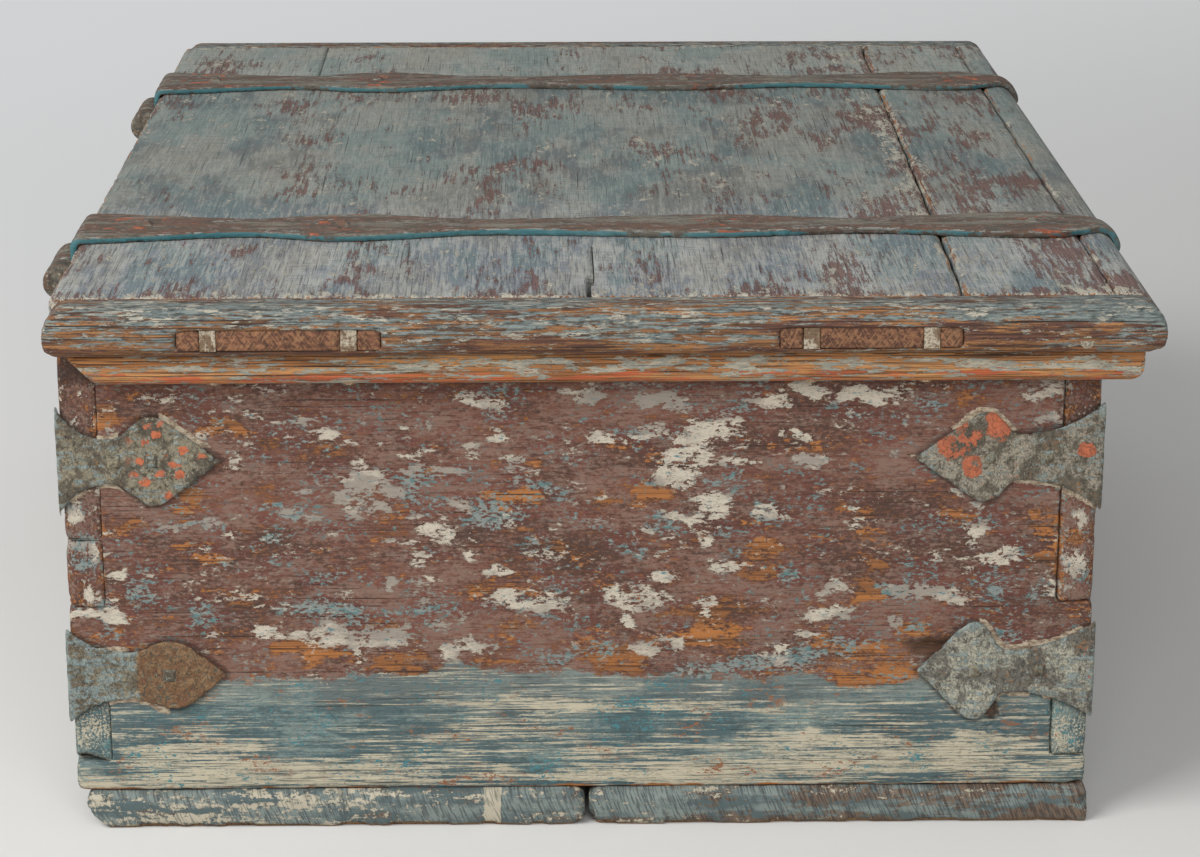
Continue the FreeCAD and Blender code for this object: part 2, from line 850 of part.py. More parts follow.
def nail(length, head_name):
    """A forged nail with a four-sided rose head, head towards +Y from the XZ plane."""
    shank = taper(size("nail_shank_width").value, size("nail_point_width").value, length)
    shank.rotate(V(), V(1, 0, 0), 180)
    head = taper(*(size(f"{head_name}_{part}").value for part in ("width", "crown", "height")))
    return shank.fuse(head).removeSplitter()


def nails(name, length, spots, head_name="nail_head"):
    """A group of nails, each at a point with its head facing outwards."""
    shapes = []
    for point, outward in spots:
        made = nail(length, head_name)
        made.Placement = FreeCAD.Placement(point, FreeCAD.Rotation(V(0, 1, 0), outward))
        shapes.append(made)
    return keep(group(name, shapes), name)


def blade(sketch, stations, tip, radius, runs, root=None):
    """A forged blade, alike on both sides of its line: waves from lobe to waist, then a point.

    Stations are (along, half width) pairs from the root; the blade runs along x or y.
    """
    def point(along, across):
        return (as_size(along), as_size(across)) if runs == "x" else (as_size(across), as_size(along))

    def flow(outline, start, end, sign):
        if start[1].value == end[1].value:
            outline.line(*point(end[0], end[1] * sign))
        else:
            outline.wave(*point(end[0], end[1] * sign), runs)

    base = root or stations[0]
    outline = Outline(sketch, *point(base[0], base[1]))
    if root:
        outline.arc(*point(*stations[0]), runs, at_start=False)
    for start, end in zip(stations, stations[1:]):
        flow(outline, start, end, 1)
    lobe = stations[-1]
    outline.shoulder(point(*lobe), point(*tip), radius, runs, leaving=True)
    far_tip = (tip[0], -as_size(tip[1]))
    if far_tip[1].value:
        outline.line(*point(*far_tip))
    outline.shoulder(point(lobe[0], -lobe[1]), point(*far_tip), radius, runs, leaving=False)
    backwards = stations[::-1]
    for start, end in zip(backwards, backwards[1:]):
        flow(outline, start, end, -1)
    if root:
        outline.arc(*point(root[0], -root[1]), runs, at_start=True)
    outline.close()


# Hinge line, behind the lid's back edge and a little above its underside
strap_line = half_length - size("strap_inset")
pivot_y = lid_back + size("knuckle_gap") + size("knuckle_radius")
pivot_z = lid_under + size("pivot_rise")
leaf_length = pivot_z - back_seam + size("back_leaf_reach")
half_knuckle = size("knuckle_length") / 2
half_hinge = half_knuckle * 3 + size("knuckle_side_gap")
bore_radius = size("pin_radius") + size("pin_clearance")


def strap_nails():
    """Nails along the two straps and down the two back leaves."""
    top = (lid_top + size("strap_thickness")).value
    lid_spots = [(V(side * strap_line.value, along_lid(share).value, top), V(0, 0, 1))
                 for side in (-1, 1) for share in STRAP_NAIL_SHARES]
    face = (half_depth + size("back_leaf_thickness")).value
    leaf_spots = []
    for side in (-1, 1):
        for share in BACK_LEAF_NAIL_SHARES:
            z = pivot_z - leaf_length * share
            leaf_spots.append((V(side * strap_line.value, face, z.value), V(0, 1, 0)))
    length = (size("nail_length") + size("strap_thickness") / 2).value
    return nails("lid_strap_nails", length, lid_spots), nails("back_leaf_nails", length, leaf_spots)


def strap_hinges():
    """Wavy straps over the lid, hooked over its front edge and rolled round a pin behind."""
    thick = size("strap_thickness")
    width = size("strap_base_width")
    half_width = width / 2
    lid_holes, leaf_holes = strap_nails()

    side = body("strap_side")
    profile = sketch_on(side, "YZ_Plane", "strap_profile")
    curl = size("nose_top_radius")
    bend = size("strap_bend_radius")
    outline = Outline(profile, lid_front, lid_top - curl)
    outline.arc(lid_front + curl, lid_top, "y", at_start=True)
    outline.line(lid_back, lid_top)
    outline.line(lid_back, pivot_z)
    outline.line(lid_back + thick, pivot_z)
    outline.line(lid_back + thick, lid_top + thick - bend)
    outline.arc(lid_back + thick - bend, lid_top + thick, "y", at_start=True)
    outline.line(lid_front + curl, lid_top + thick)
    outline.arc(lid_front - thick, lid_top - curl, "x", at_start=True)
    outline.close()
    pad(side, profile, width)
    place(side, x=-strap_line - half_width)

    plan = body("strap_plan")
    face = sketch_on(plan, "XY_Plane", "strap_outline")
    stations = [
        (lid_back + thick, half_width),
        (along_lid(STRAP_NECK_SHARE), size("strap_neck_width") / 2),
        (along_lid(STRAP_LOBE_SHARE), size("strap_lobe_width") / 2),
        (along_lid(STRAP_WAIST_SHARE), size("strap_waist_width") / 2),
        (along_lid(STRAP_MIDDLE_LOBE_SHARE), size("strap_middle_lobe_width") / 2),
        (along_lid(STRAP_LAST_WAIST_SHARE), size("strap_waist_width") / 2),
        (along_lid(STRAP_SPADE_SHARE), size("strap_spade_width") / 2),
    ]
    tip = (lid_front - thick, size("strap_tip_width") / 2)
    blade(face, stations, tip, size("strap_shoulder_radius"), "y")
    pad(plan, face, lid_top + thick - pivot_z)
    place(plan, x=-strap_line, z=pivot_z)

    plate = common("strap_plate", side, plan)
    knuckle = rod("strap_knuckle", size("knuckle_radius"), -strap_line - half_knuckle,
                  half_knuckle - strap_line, pivot_y, pivot_z)
    clear = pivot_z + size("knuckle_radius") + size("knuckle_gap")
    behind = (lid_back - overrun, lid_back + thick + overrun)
    notches = [
        box("strap_left_notch", (-strap_line - half_width - overrun, -strap_line - half_knuckle),
            behind, (pivot_z - overrun, clear)),
        box("strap_right_notch", (half_knuckle - strap_line, half_width - strap_line + overrun),
            behind, (pivot_z - overrun, clear)),
    ]
    bore = rod("strap_bore", bore_radius, -strap_line - half_knuckle - overrun,
               half_knuckle - strap_line + overrun, pivot_y, pivot_z)
    whole = fuse("strap_whole", cut("strap_notched", plate, *notches), knuckle)
    left = keep(cut("left_lid_strap", whole, bore, lid_holes), "left_lid_strap")
    keep(mirror("right_lid_strap", left), "right_lid_strap")
    back_leaves(leaf_holes)
    hinge_pins()


def back_leaves(holes):
    """Leaves nailed down the back wall, with the two outer knuckles of each hinge."""
    thick = size("back_leaf_thickness")
    radius = size("knuckle_radius")
    shelf = lid_under - size("knuckle_gap")

    side = body("leaf_side")
    profile = sketch_on(side, "YZ_Plane", "leaf_profile")
    polygon(profile, [
        (half_depth, pivot_z - leaf_length),
        (half_depth + thick, pivot_z - leaf_length),
        (half_depth + thick, pivot_z - radius - thick),
        (pivot_y, pivot_z - radius),
        (pivot_y, shelf),
        (half_depth, shelf),
    ])
    pad(side, profile, half_hinge * 2)
    place(side, x=-strap_line - half_hinge)

    front = body("leaf_front")
    face = sketch_on(front, "XZ_Plane", "leaf_outline")

    def down(share):
        return pivot_z - leaf_length * share

    stations = [
        (pivot_z, half_hinge),
        (down(BACK_LEAF_ROOT_SHARE), half_hinge),
        (down(BACK_LEAF_WAIST_SHARE), size("back_leaf_waist_width") / 2),
        (down(BACK_LEAF_LOBE_SHARE), size("back_leaf_lobe_width") / 2),
    ]
    blade(face, stations, (pivot_z - leaf_length, 0), size("back_leaf_shoulder_radius"), "y")
    pad(front, face, pivot_y - half_depth)
    place(front, x=-strap_line, y=pivot_y)

    plate = common("leaf_plate", side, front)
    barrel = rod("leaf_barrel", radius, -strap_line - half_hinge, half_hinge - strap_line, pivot_y, pivot_z)
    half_gap = half_knuckle + size("knuckle_side_gap")
    clear = radius + size("knuckle_gap")
    slot = box("leaf_slot", (-strap_line - half_gap, half_gap - strap_line),
               (half_depth - overrun, pivot_y + clear), (pivot_z - clear, pivot_z + clear))
    bore = rod("leaf_bore", bore_radius, -strap_line - half_hinge - overrun,
               half_hinge - strap_line + overrun, pivot_y, pivot_z)
    whole = fuse("leaf_whole", plate, barrel)
    left = keep(cut("left_back_leaf", whole, slot, bore, holes), "left_back_leaf")
    keep(mirror("right_back_leaf", left), "right_back_leaf")


def hinge_pins():
    """A pin through the three knuckles of each hinge, headed at both ends."""
    shank_end = half_hinge + size("pin_clearance")
    head_end = shank_end + size("pin_head_thickness")
    parts = [
        rod("pin_shank", size("pin_radius"), -strap_line - head_end, head_end - strap_line, pivot_y, pivot_z),
        stud("pin_left_head", size("pin_head_radius"), -strap_line - head_end,
             -strap_line - shank_end, pivot_y, pivot_z),
        stud("pin_right_head", size("pin_head_radius"), shank_end - strap_line,
             head_end - strap_line, pivot_y, pivot_z),
    ]
    left = keep(fuse("left_hinge_pin", *parts), "left_hinge_pin")
    keep(mirror("right_hinge_pin", left), "right_hinge_pin")


def iron_nail_spots():
    """Two nails in each leaf of each corner iron, on the end and on the long wall."""
    out = size("iron_thickness").value
    x_face = half_length.value + out
    y_face = half_depth.value + out
    spots = []
    for side in (-1, 1):
        for row, level in (("upper", size("upper_iron_height")), ("lower", size("lower_iron_height"))):
            z = (wall_base + level).value
            for wall_name, turn in (("front", -1), ("back", 1)):
                lobe = size(f"{wall_name}_{row}_lobe_reach")
                for reach in (size("iron_nail_reach"), lobe):
                    along_end = turn * (half_depth - reach).value
                    along_wall = side * (half_length - reach).value
                    spots.append((V(side * x_face, along_end, z), V(side, 0, 0)))
                    spots.append((V(along_wall, turn * y_face, z), V(0, turn, 0)))
    return spots


def corner_irons():
    """Irons bent round each upright corner, high and low, with a leaf on each face."""
    thick = size("iron_thickness")
    holes = nails("corner_iron_nails", size("nail_length").value, iron_nail_spots(), "iron_nail_head")
    for wall_name, turn in (("front", 0), ("back", -90)):
        for row in ("upper", "lower"):
            kind = f"{wall_name}_{row}"
            made = body(f"{kind}_iron_blank")
            root = (as_size(0), size(f"{kind}_base") / 2)
            stations = [
                (size(f"{kind}_waist_reach") + thick, size(f"{kind}_waist") / 2),
                (size(f"{kind}_lobe_reach") + thick, size(f"{kind}_lobe") / 2),
            ]
            tip = (size(f"{kind}_reach") + thick, 0)
            for plane in ("XZ_Plane", "YZ_Plane"):
                leaf = sketch_on(made, plane, f"{kind}_{plane}_leaf")
                blade(leaf, stations, tip, size(f"{kind}_shoulder_radius"), "x", root)
                pad(made, leaf, thick, back=plane == "XZ_Plane")
            made.Placement = FreeCAD.Placement(V(), FreeCAD.Rotation(V(0, 0, 1), turn))
            corner_y = -half_depth - thick if wall_name == "front" else half_depth + thick
            place(made, -half_length - thick, corner_y, wall_base + size(f"{row}_iron_height"))
            left = keep(cut(f"left_{kind}_iron", made, holes), f"left_{kind}_iron")
            keep(mirror(f"right_{kind}_iron", left), f"right_{kind}_iron")


def bottom_nails():
    """Nails up through the bottom boards into the walls, with their heads let in flush."""
    middle = (wall / 2).value
    x_line = half_length.value - middle
    y_line = half_depth.value - middle
    z = (size("nail_head_height") + size("bottom_nail_sink")).value
    places = [(side * x_line, (size("box_depth") * (share - 0.5)).value)
              for side in (-1, 1) for share in BOTTOM_END_NAIL_SHARES]
    places += [((size("box_length") * (share - 0.5)).value, side * y_line)
               for side in (-1, 1) for share in BOTTOM_SIDE_NAIL_SHARES]
    spots = [(V(x, y, z), V(0, 0, -1)) for x, y in places]
    nails("bottom_nails", size("bottom_nail_length").value, spots)


def lock():
    """Box lock inside the front: open case, bolt on rails, and a staple under the lid."""
    edge = size("lock_wall")
    half = size("lock_length") / 2
    low = lock_top - size("lock_height")
    flange = half + size("lock_flange")
    slot = size("staple_clearance")
    hole_back = bolt_back - size("eye_clearance")
    hole_front = bolt_front + size("eye_clearance")
    staple_back = hole_back - size("staple_side")
    staple_front = hole_front + size("staple_side")

    shell = fuse("lock_solid",
                 box("lock_plate", (-flange, flange), (lock_back, lock_back + edge), (low, lock_top)),
                 box("lock_box", (-half, half), (lock_back, lock_front), (low, lock_top)))
    hollow = box("lock_hollow", (edge - half, half - edge), (lock_back - overrun, lock_front - edge),
                 (low + edge, lock_top - edge))
    mouth = box("lock_mouth", (staple_left - slot, staple_right + slot),
                (staple_back - slot, staple_front + slot), (lock_top - edge - overrun, lock_top + overrun))
    rail = size("rail_thickness")
    play = size("bolt_clearance")
    bolt_right = staple_left - size("bolt_tip_gap")
    bolt_left = bolt_right - size("bolt_length")
    rail_depth = (bolt_back, lock_front - edge)
    notch = size("bolt_notch_width")
    rails = [
        box("upper_rail", (bolt_left, bolt_right), rail_depth, (bolt_top + play, bolt_top + play + rail)),
        box("lower_left_rail", (bolt_left, bolt_left + notch), rail_depth,
            (bolt_low - play - rail, bolt_low - play)),
        box("lower_right_rail", (bolt_right - notch, bolt_right), rail_depth,
            (bolt_low - play - rail, bolt_low - play)),
    ]
    nail_x = (flange - size("lock_flange") / 2).value
    nail_y = (lock_back + edge).value
    nail_levels = (low + size("lock_flange"), lock_top - size("lock_flange"))
    spots = [(V(side * nail_x, nail_y, level.value), V(0, 1, 0)) for side in (-1, 1) for level in nail_levels]
    staple_half = size("staple_plate_length") / 2
    plate_low = lid_under - size("staple_plate_thickness")
    staple_middle = ((staple_back + staple_front) / 2).value
    reach = (staple_half + size("staple_width") / 2) / 2
    holes = nails("lock_nails", (size("nail_length") - edge).value, spots)
    case = fuse("lock_cased", cut("lock_shell", shell, hollow, mouth), *rails)
    keep(cut("lock_case", case, holes), "lock_case")

    bolt = box("bolt_bar", (bolt_left, bolt_right), (bolt_back, bolt_front), (bolt_low, bolt_top))
    talon_left = (bolt_left + bolt_right) / 2 - notch / 2
    talon = box("bolt_notch", (talon_left, talon_left + notch), (bolt_back - overrun, bolt_front + overrun),
                (bolt_low - overrun, bolt_low + size("bolt_notch_depth")))
    keep(cut("lock_bolt", bolt, talon), "lock_bolt")

    eye_low = bolt_low - size("eye_clearance")
    eye_top = bolt_top + size("eye_clearance")
    loop = box("staple_loop", (staple_left, staple_right), (staple_back, staple_front),
               (eye_low - size("staple_side"), lid_under))
    base = box("staple_base", (size("staple_offset") - staple_half, size("staple_offset") + staple_half),
               (staple_back, staple_front), (plate_low, lid_under))
    eye = box("staple_eye", (staple_left - overrun, staple_right + overrun), (hole_back, hole_front),
              (eye_low, eye_top))
    spots = [(V((size("staple_offset") + reach * side).value, staple_middle, plate_low.value), V(0, 0, -1))
             for side in (-1, 1)]
    holes = nails("staple_nails", size("nail_length").value, spots)
    staple = cut("staple_eyed", fuse("staple_solid", loop, base), eye)
    keep(cut("lid_staple", staple, holes), "lid_staple")


end_walls(long_walls())
bottom_boards()
lid_boards()
cleats()
skirts()
strap_hinges()
corner_irons()
bottom_nails()
lock()

doc.recompute()
for thing in doc.Objects:
    if "Invalid" in thing.State or "Error" in thing.State:
        raise RuntimeError(f"{thing.Label} failed: {thing.State}")
for piece in nodes:
    if piece.Shape.isNull() or not piece.Shape.isValid():
        raise RuntimeError(f"{piece.Label} has no sound shape")

os.makedirs("parts", exist_ok=True)
for piece in nodes:
    piece.Shape.exportStep(f"parts/{piece.Label}.step")
print(len(nodes), "pieces written")
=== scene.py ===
import itertools
import json
import math

import bpy
import numpy as np
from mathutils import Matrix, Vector
from mathutils.kdtree import KDTree

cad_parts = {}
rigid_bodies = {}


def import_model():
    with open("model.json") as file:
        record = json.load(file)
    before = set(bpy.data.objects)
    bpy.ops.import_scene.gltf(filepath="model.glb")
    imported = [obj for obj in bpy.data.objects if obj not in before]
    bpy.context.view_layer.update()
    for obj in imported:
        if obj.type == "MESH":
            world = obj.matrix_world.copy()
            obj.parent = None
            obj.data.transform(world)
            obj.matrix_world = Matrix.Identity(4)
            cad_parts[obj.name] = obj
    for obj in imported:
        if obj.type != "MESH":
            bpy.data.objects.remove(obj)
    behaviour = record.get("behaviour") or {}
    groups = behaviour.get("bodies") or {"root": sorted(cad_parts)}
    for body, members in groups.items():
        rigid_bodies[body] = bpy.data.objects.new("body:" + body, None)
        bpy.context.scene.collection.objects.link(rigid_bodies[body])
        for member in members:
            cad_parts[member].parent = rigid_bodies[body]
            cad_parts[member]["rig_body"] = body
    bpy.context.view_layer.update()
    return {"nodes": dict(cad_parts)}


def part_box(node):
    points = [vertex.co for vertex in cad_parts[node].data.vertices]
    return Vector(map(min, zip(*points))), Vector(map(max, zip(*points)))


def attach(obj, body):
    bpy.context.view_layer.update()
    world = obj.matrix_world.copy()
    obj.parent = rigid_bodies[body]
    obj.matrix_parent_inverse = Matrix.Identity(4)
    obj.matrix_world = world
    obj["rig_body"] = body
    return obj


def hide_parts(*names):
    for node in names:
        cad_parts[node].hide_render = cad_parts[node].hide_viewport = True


# An old iron-bound pine chest under worn coats of paint, seen from its left end.

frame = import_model()
nodes = frame["nodes"]
MM = 0.001


# Camera, at the photograph's angle

PHOTO_WIDTH = 1200
FOCAL_LENGTH_PIXELS = 3300
SENSOR_WIDTH = 36.0
CAMERA_PLACE = Vector((-1.9466, 0.0195, 0.7126))
CAMERA_YAW = -0.018
CAMERA_PITCH = -0.300


def make_camera():
    """A long lens that looks along the chest and a little down."""
    data = bpy.data.cameras.new("camera")
    data.sensor_fit = "HORIZONTAL"
    data.sensor_width = SENSOR_WIDTH
    data.lens = SENSOR_WIDTH * FOCAL_LENGTH_PIXELS / PHOTO_WIDTH
    camera = bpy.data.objects.new("camera", data)
    forward = Vector((math.cos(CAMERA_YAW) * math.cos(CAMERA_PITCH),
                      math.sin(CAMERA_YAW) * math.cos(CAMERA_PITCH), math.sin(CAMERA_PITCH)))
    camera.rotation_mode = "QUATERNION"
    camera.rotation_quaternion = forward.to_track_quat("-Z", "Y")
    camera.location = CAMERA_PLACE
    bpy.context.scene.collection.objects.link(camera)
    bpy.context.scene.camera = camera


# Repeatable noise on arrays of points

CELL_PRIMES = 73856093, 19349663, 83492791
SEED_PRIME = 2654435761
MIXING_ROUNDS = (15, 2246822519), (13, 3266489917)
LOW_32_BITS = 0xFFFFFFFF
LOW_16_BITS = 0xFFFF


def lattice(cells, seed):
    """A repeatable number from -1 to 1 for each whole-number cell."""
    mixed = np.bitwise_xor.reduce(cells * np.array(CELL_PRIMES), axis=1) ^ seed * SEED_PRIME
    for shift, factor in MIXING_ROUNDS:
        mixed = (mixed ^ mixed >> shift) * factor & LOW_32_BITS
    return 2 * ((mixed ^ mixed >> 16) & LOW_16_BITS) / LOW_16_BITS - 1


def noise(points, size, seed):
    """Smooth noise from -1 to 1 with features of this size, one length or one for each axis."""
    scaled = points / np.asarray(size)
    cell = np.floor(scaled).astype(np.int64)
    part = scaled - cell
    part = part * part * (3 - 2 * part)
    total = np.zeros(len(points))
    for corner in itertools.product((0, 1), repeat=3):
        weight = np.prod(np.where(corner, part, 1 - part), axis=1)
        total += weight * lattice(cell + np.array(corner), seed)
    return total


def layered(points, size, seed, octaves=3):
    """Noise with finer noise on top."""
    total = np.zeros(len(points))
    for octave in range(octaves):
        total += noise(points, np.asarray(size) / 2 ** octave, seed + octave) / 2 ** octave
    return total


def smooth_step(value, low, high):
    share = np.clip((value - low) / (high - low), 0, 1)
    return share * share * (3 - 2 * share)


def along_grain(axis, length, width):
    """Feature sizes that are long along one axis and narrow across it."""
    return tuple(length if name == axis else width for name in "xyz")


# Worn pieces: fine copies of the CAD solids

EDGE_ROUNDS = 10
EDGE_HEIGHT = 1.2 * MM
END_KEEP = 30 * MM


def read(items, name, width, kind=float):
    values = np.empty(len(items) * width, dtype=np.float32 if kind is float else np.int32)
    items.foreach_get(name, values)
    return values.reshape(-1, width).astype(np.float64 if kind is float else np.int64)


def squeeze(mesh, axis, low, high, factor):
    """Scale a mesh along one axis between two places, and shift what lies beyond."""
    points = read(mesh.vertices, "co", 3)
    line = points[:, axis]
    inside = np.clip(line, low, high) - low
    points[:, axis] = np.minimum(line, low) + inside * factor + np.maximum(line - high, 0)
    mesh.vertices.foreach_set("co", points.astype(np.float32).ravel())
    mesh.update()


def relax(points, pairs, rounds):
    """Draw each point towards the mean of its neighbours, several times."""
    count = np.bincount(pairs.ravel(), minlength=len(points))
    for _ in range(rounds):
        columns = []
        for axis in range(3):
            one_way = np.bincount(pairs[:, 0], points[pairs[:, 1], axis], len(points))
            other_way = np.bincount(pairs[:, 1], points[pairs[:, 0], axis], len(points))
            columns.append((one_way + other_way) / count)
        points = np.stack(columns, axis=1)
    return points


class Worn:
    """A fine mesh of one CAD node, held as arrays while it is worn down and marked.

    Between its ends, a board is meshed coarser along the grain, by the stretch.
    """

    def __init__(self, node, voxel, grain=None, stretch=1.0, keep=END_KEEP):
        self.node = node
        mesh = nodes[node].data.copy()
        if grain:
            axis = "xyz".index(grain)
            low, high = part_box(node)[0][axis] + keep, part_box(node)[1][axis] - keep
            squeeze(mesh, axis, low, high, 1 / stretch)
        helper = bpy.data.objects.new("helper", mesh)
        bpy.context.scene.collection.objects.link(helper)
        remesh = helper.modifiers.new("fine", "REMESH")
        remesh.mode = "VOXEL"
        remesh.voxel_size = voxel
        bpy.context.view_layer.update()
        shape = helper.evaluated_get(bpy.context.evaluated_depsgraph_get())
        self.mesh = bpy.data.meshes.new_from_object(shape)
        bpy.data.objects.remove(helper)
        if grain:
            squeeze(self.mesh, axis, low, low + (high - low) / stretch, stretch)
        self.points = read(self.mesh.vertices, "co", 3)
        self.rest = self.points.copy()
        self.pairs = read(self.mesh.edges, "vertices", 2, int)
        self.normals = read(self.mesh.vertices, "normal", 3)
        self.smooth = relax(self.points, self.pairs, EDGE_ROUNDS)
        height = ((self.points - self.smooth) * self.normals).sum(axis=1)
        self.edge = np.clip(height / EDGE_HEIGHT, -1, 1)
        self.marks = {"edge": np.clip(self.edge, 0, 1)}

    def push(self, height):
        """Move the surface out along its normals, or in where the height is negative."""
        self.points += self.normals * np.broadcast_to(height, len(self.points))[:, None]

    def round_edges(self, amount, seed):
        """Wear convex edges back, more in some places than in others."""
        uneven = 0.65 + 0.35 * layered(self.rest, 22 * MM, seed)
        share = np.clip(self.edge, 0, 1) * amount * uneven
        self.points += (self.smooth - self.rest) * share[:, None]

    def chip_edges(self, depth, size, rarity, seed):
        """Break small bites out of convex edges."""
        bites = smooth_step(layered(self.rest, size, seed), rarity, rarity + 0.25)
        self.push(-depth * bites * smooth_step(self.edge, 0.15, 0.6))

    def raise_grain(self, axis, height, width, seed):
        """Ridges along the grain, where soft wood has worn away between the rings."""
        fine = noise(self.rest, along_grain(axis, 90 * width, width), seed)
        broad = noise(self.rest, along_grain(axis, 60 * width, 3.5 * width), seed + 1)
        self.push(height * (0.6 * fine + 0.4 * broad))

    def finish(self, material):
        """Make the piece, on its node's body and in its node's place."""
        mesh = self.mesh
        mesh.vertices.foreach_set("co", self.points.astype(np.float32).ravel())
        for name, values in self.marks.items():
            layer = mesh.attributes.new(name, "FLOAT", "POINT")
            layer.data.foreach_set("value", values.astype(np.float32))
        mesh.materials.clear()
        mesh.materials.append(material)
        mesh.polygons.foreach_set("material_index", np.zeros(len(mesh.polygons), dtype=np.int32))
        mesh.polygons.foreach_set("use_smooth", np.ones(len(mesh.polygons), dtype=bool))
        mesh.update()
        piece = bpy.data.objects.new(self.node + "_worn", mesh)
        bpy.context.scene.collection.objects.link(piece)
        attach(piece, nodes[self.node]["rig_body"])
        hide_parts(self.node)


# Materials, written as small expressions of nodes

def tint(code):
    """Linear colour from a six-figure screen colour."""
    parts = [int(code[start:start + 2], 16) / 255 for start in (0, 2, 4)]
    linear = [part / 12.92 if part <= 0.04045 else ((part + 0.055) / 1.055) ** 2.4 for part in parts]
    return (*linear, 1.0)


# Sockets of a mix node that carry its two colours and the mixed one
COLOUR_SOCKETS = 6, 7
MIXED_SOCKET = 2
# How far each seed moves a pattern along x, y and z, in feature sizes
SEED_SHIFT = 7.3, 3.1, 5.7


class Paint:
    """One material and the nodes that make it."""

    def __init__(self, name):
        self.material = bpy.data.materials.new(name)
        self.material.use_nodes = True
        self.tree = self.material.node_tree
        self.tree.nodes.clear()
        self.shader = self.node("ShaderNodeBsdfPrincipled")
        output = self.node("ShaderNodeOutputMaterial")
        self.tree.links.new(self.shader.outputs[0], output.inputs["Surface"])
        self.place = self.node("ShaderNodeTexCoord").outputs["Object"]

    def node(self, kind, **settings):
        made = self.tree.nodes.new(kind)
        for name, value in settings.items():
            setattr(made, name, value)
        return made

    def put(self, socket, value):
        if isinstance(value, bpy.types.NodeSocket):
            self.tree.links.new(value, socket)
        else:
            socket.default_value = value

    def calc(self, operation, first, second=0.0):
        made = self.node("ShaderNodeMath", operation=operation)
        self.put(made.inputs[0], first)
        self.put(made.inputs[1], second)
        return made.outputs[0]

    def total(self, *terms):
        """The sum of (value, weight) pairs."""
        result = 0.0
        for value, weight in terms:
            made = self.node("ShaderNodeMath", operation="MULTIPLY_ADD")
            self.put(made.inputs[0], value)
            self.put(made.inputs[1], weight)
            self.put(made.inputs[2], result)
            result = made.outputs[0]
        return result

    def scaled(self, value, factor):
        return self.calc("MULTIPLY", value, factor)

    def axis(self, name):
        parts = self.node("ShaderNodeSeparateXYZ")
        self.put(parts.inputs[0], self.place)
        return parts.outputs[name.upper()]

    def mark(self, name):
        """A value that the mesh carries at its points."""
        made = self.node("ShaderNodeAttribute", attribute_name=name)
        return made.outputs["Fac"]

    def spread(self, size, seed, turn=0.0):
        """Places in units of a feature size in metres, one length or one for each axis, turned about x."""
        sizes = (size, size, size) if isinstance(size, float) else size
        place = self.place
        if turn:
            turned = self.node("ShaderNodeMapping")
            self.put(turned.inputs["Vector"], place)
            turned.inputs["Rotation"].default_value = (turn, 0, 0)
            place = turned.outputs[0]
        scaled = self.node("ShaderNodeVectorMath", operation="MULTIPLY_ADD")
        self.put(scaled.inputs[0], place)
        scaled.inputs[1].default_value = [1 / length for length in sizes]
        scaled.inputs[2].default_value = [shift * seed for shift in SEED_SHIFT]
        return scaled.outputs[0]

    def dots(self, size, seed, rarity, radius, ragged):
        """One inside rough-edged spots, of which some are left out."""
        made = self.node("ShaderNodeTexVoronoi")
        self.put(made.inputs["Vector"], self.spread(size, seed))
        made.inputs["Scale"].default_value = 1.0
        chosen = self.node("ShaderNodeSeparateColor")
        self.put(chosen.inputs[0], made.outputs["Color"])
        distance = self.total((made.outputs["Distance"], 1.0), (ragged, 0.9))
        near = self.calc("SUBTRACT", 1.0, self.step(distance, radius + 0.45, 0.03))
        return self.calc("MULTIPLY", near, self.step(chosen.outputs[0], rarity, 0.01))

    def grit(self, size, seed, detail=4.0, roughness=0.6, twist=0.0, turn=0.0):
        """Noise from 0 to 1 with features of this size."""
        made = self.node("ShaderNodeTexNoise")
        self.put(made.inputs["Vector"], self.spread(size, seed, turn))
        made.inputs["Scale"].default_value = 1.0
        made.inputs["Detail"].default_value = detail
        made.inputs["Roughness"].default_value = roughness
        made.inputs["Distortion"].default_value = twist
        return made.outputs[0]

    def grained(self, axis, length, width, *settings):
        """Noise with features that are long along the grain and narrow across it."""
        return self.grit(along_grain(axis, length, width), *settings)

    def step(self, value, edge, soft):
        """Nought below the edge and one above it, over a narrow soft range."""
        made = self.node("ShaderNodeMapRange", interpolation_type="SMOOTHSTEP")
        self.put(made.inputs["Value"], value)
        made.inputs["From Min"].default_value = edge - soft
        made.inputs["From Max"].default_value = edge + soft
        return made.outputs["Result"]

    def blend(self, share, first, second):
        """The first colour, turning into the second as the share goes from nought to one."""
        made = self.node("ShaderNodeMix", data_type="RGBA")
        self.put(made.inputs[0], share)
        for socket, colour in zip(COLOUR_SOCKETS, (first, second)):
            self.put(made.inputs[socket], tint(colour) if isinstance(colour, str) else colour)
        return made.outputs[MIXED_SOCKET]

    def over(self, below, above, value, edge, soft, strength=1.0):
        """The colour below, covered by the one above where a value passes an edge."""
        share = self.step(value, edge, soft)
        if strength != 1.0:
            share = self.scaled(share, strength)
        return self.blend(share, below, above)

    def finish(self, colour, roughness, *relief, shine=0.35):
        """Give the shader its colour, its roughness and a relief, as (value, metres) pairs."""
        self.put(self.shader.inputs["Base Color"], colour)
        self.put(self.shader.inputs["Roughness"], roughness)
        self.shader.inputs["Specular IOR Level"].default_value = shine
        bump = self.node("ShaderNodeBump")
        bump.inputs["Strength"].default_value = 1.0
        bump.inputs["Distance"].default_value = 1.0
        self.put(bump.inputs["Height"], self.total(*relief))
        self.put(self.shader.inputs["Normal"], bump.outputs[0])
        return self.material

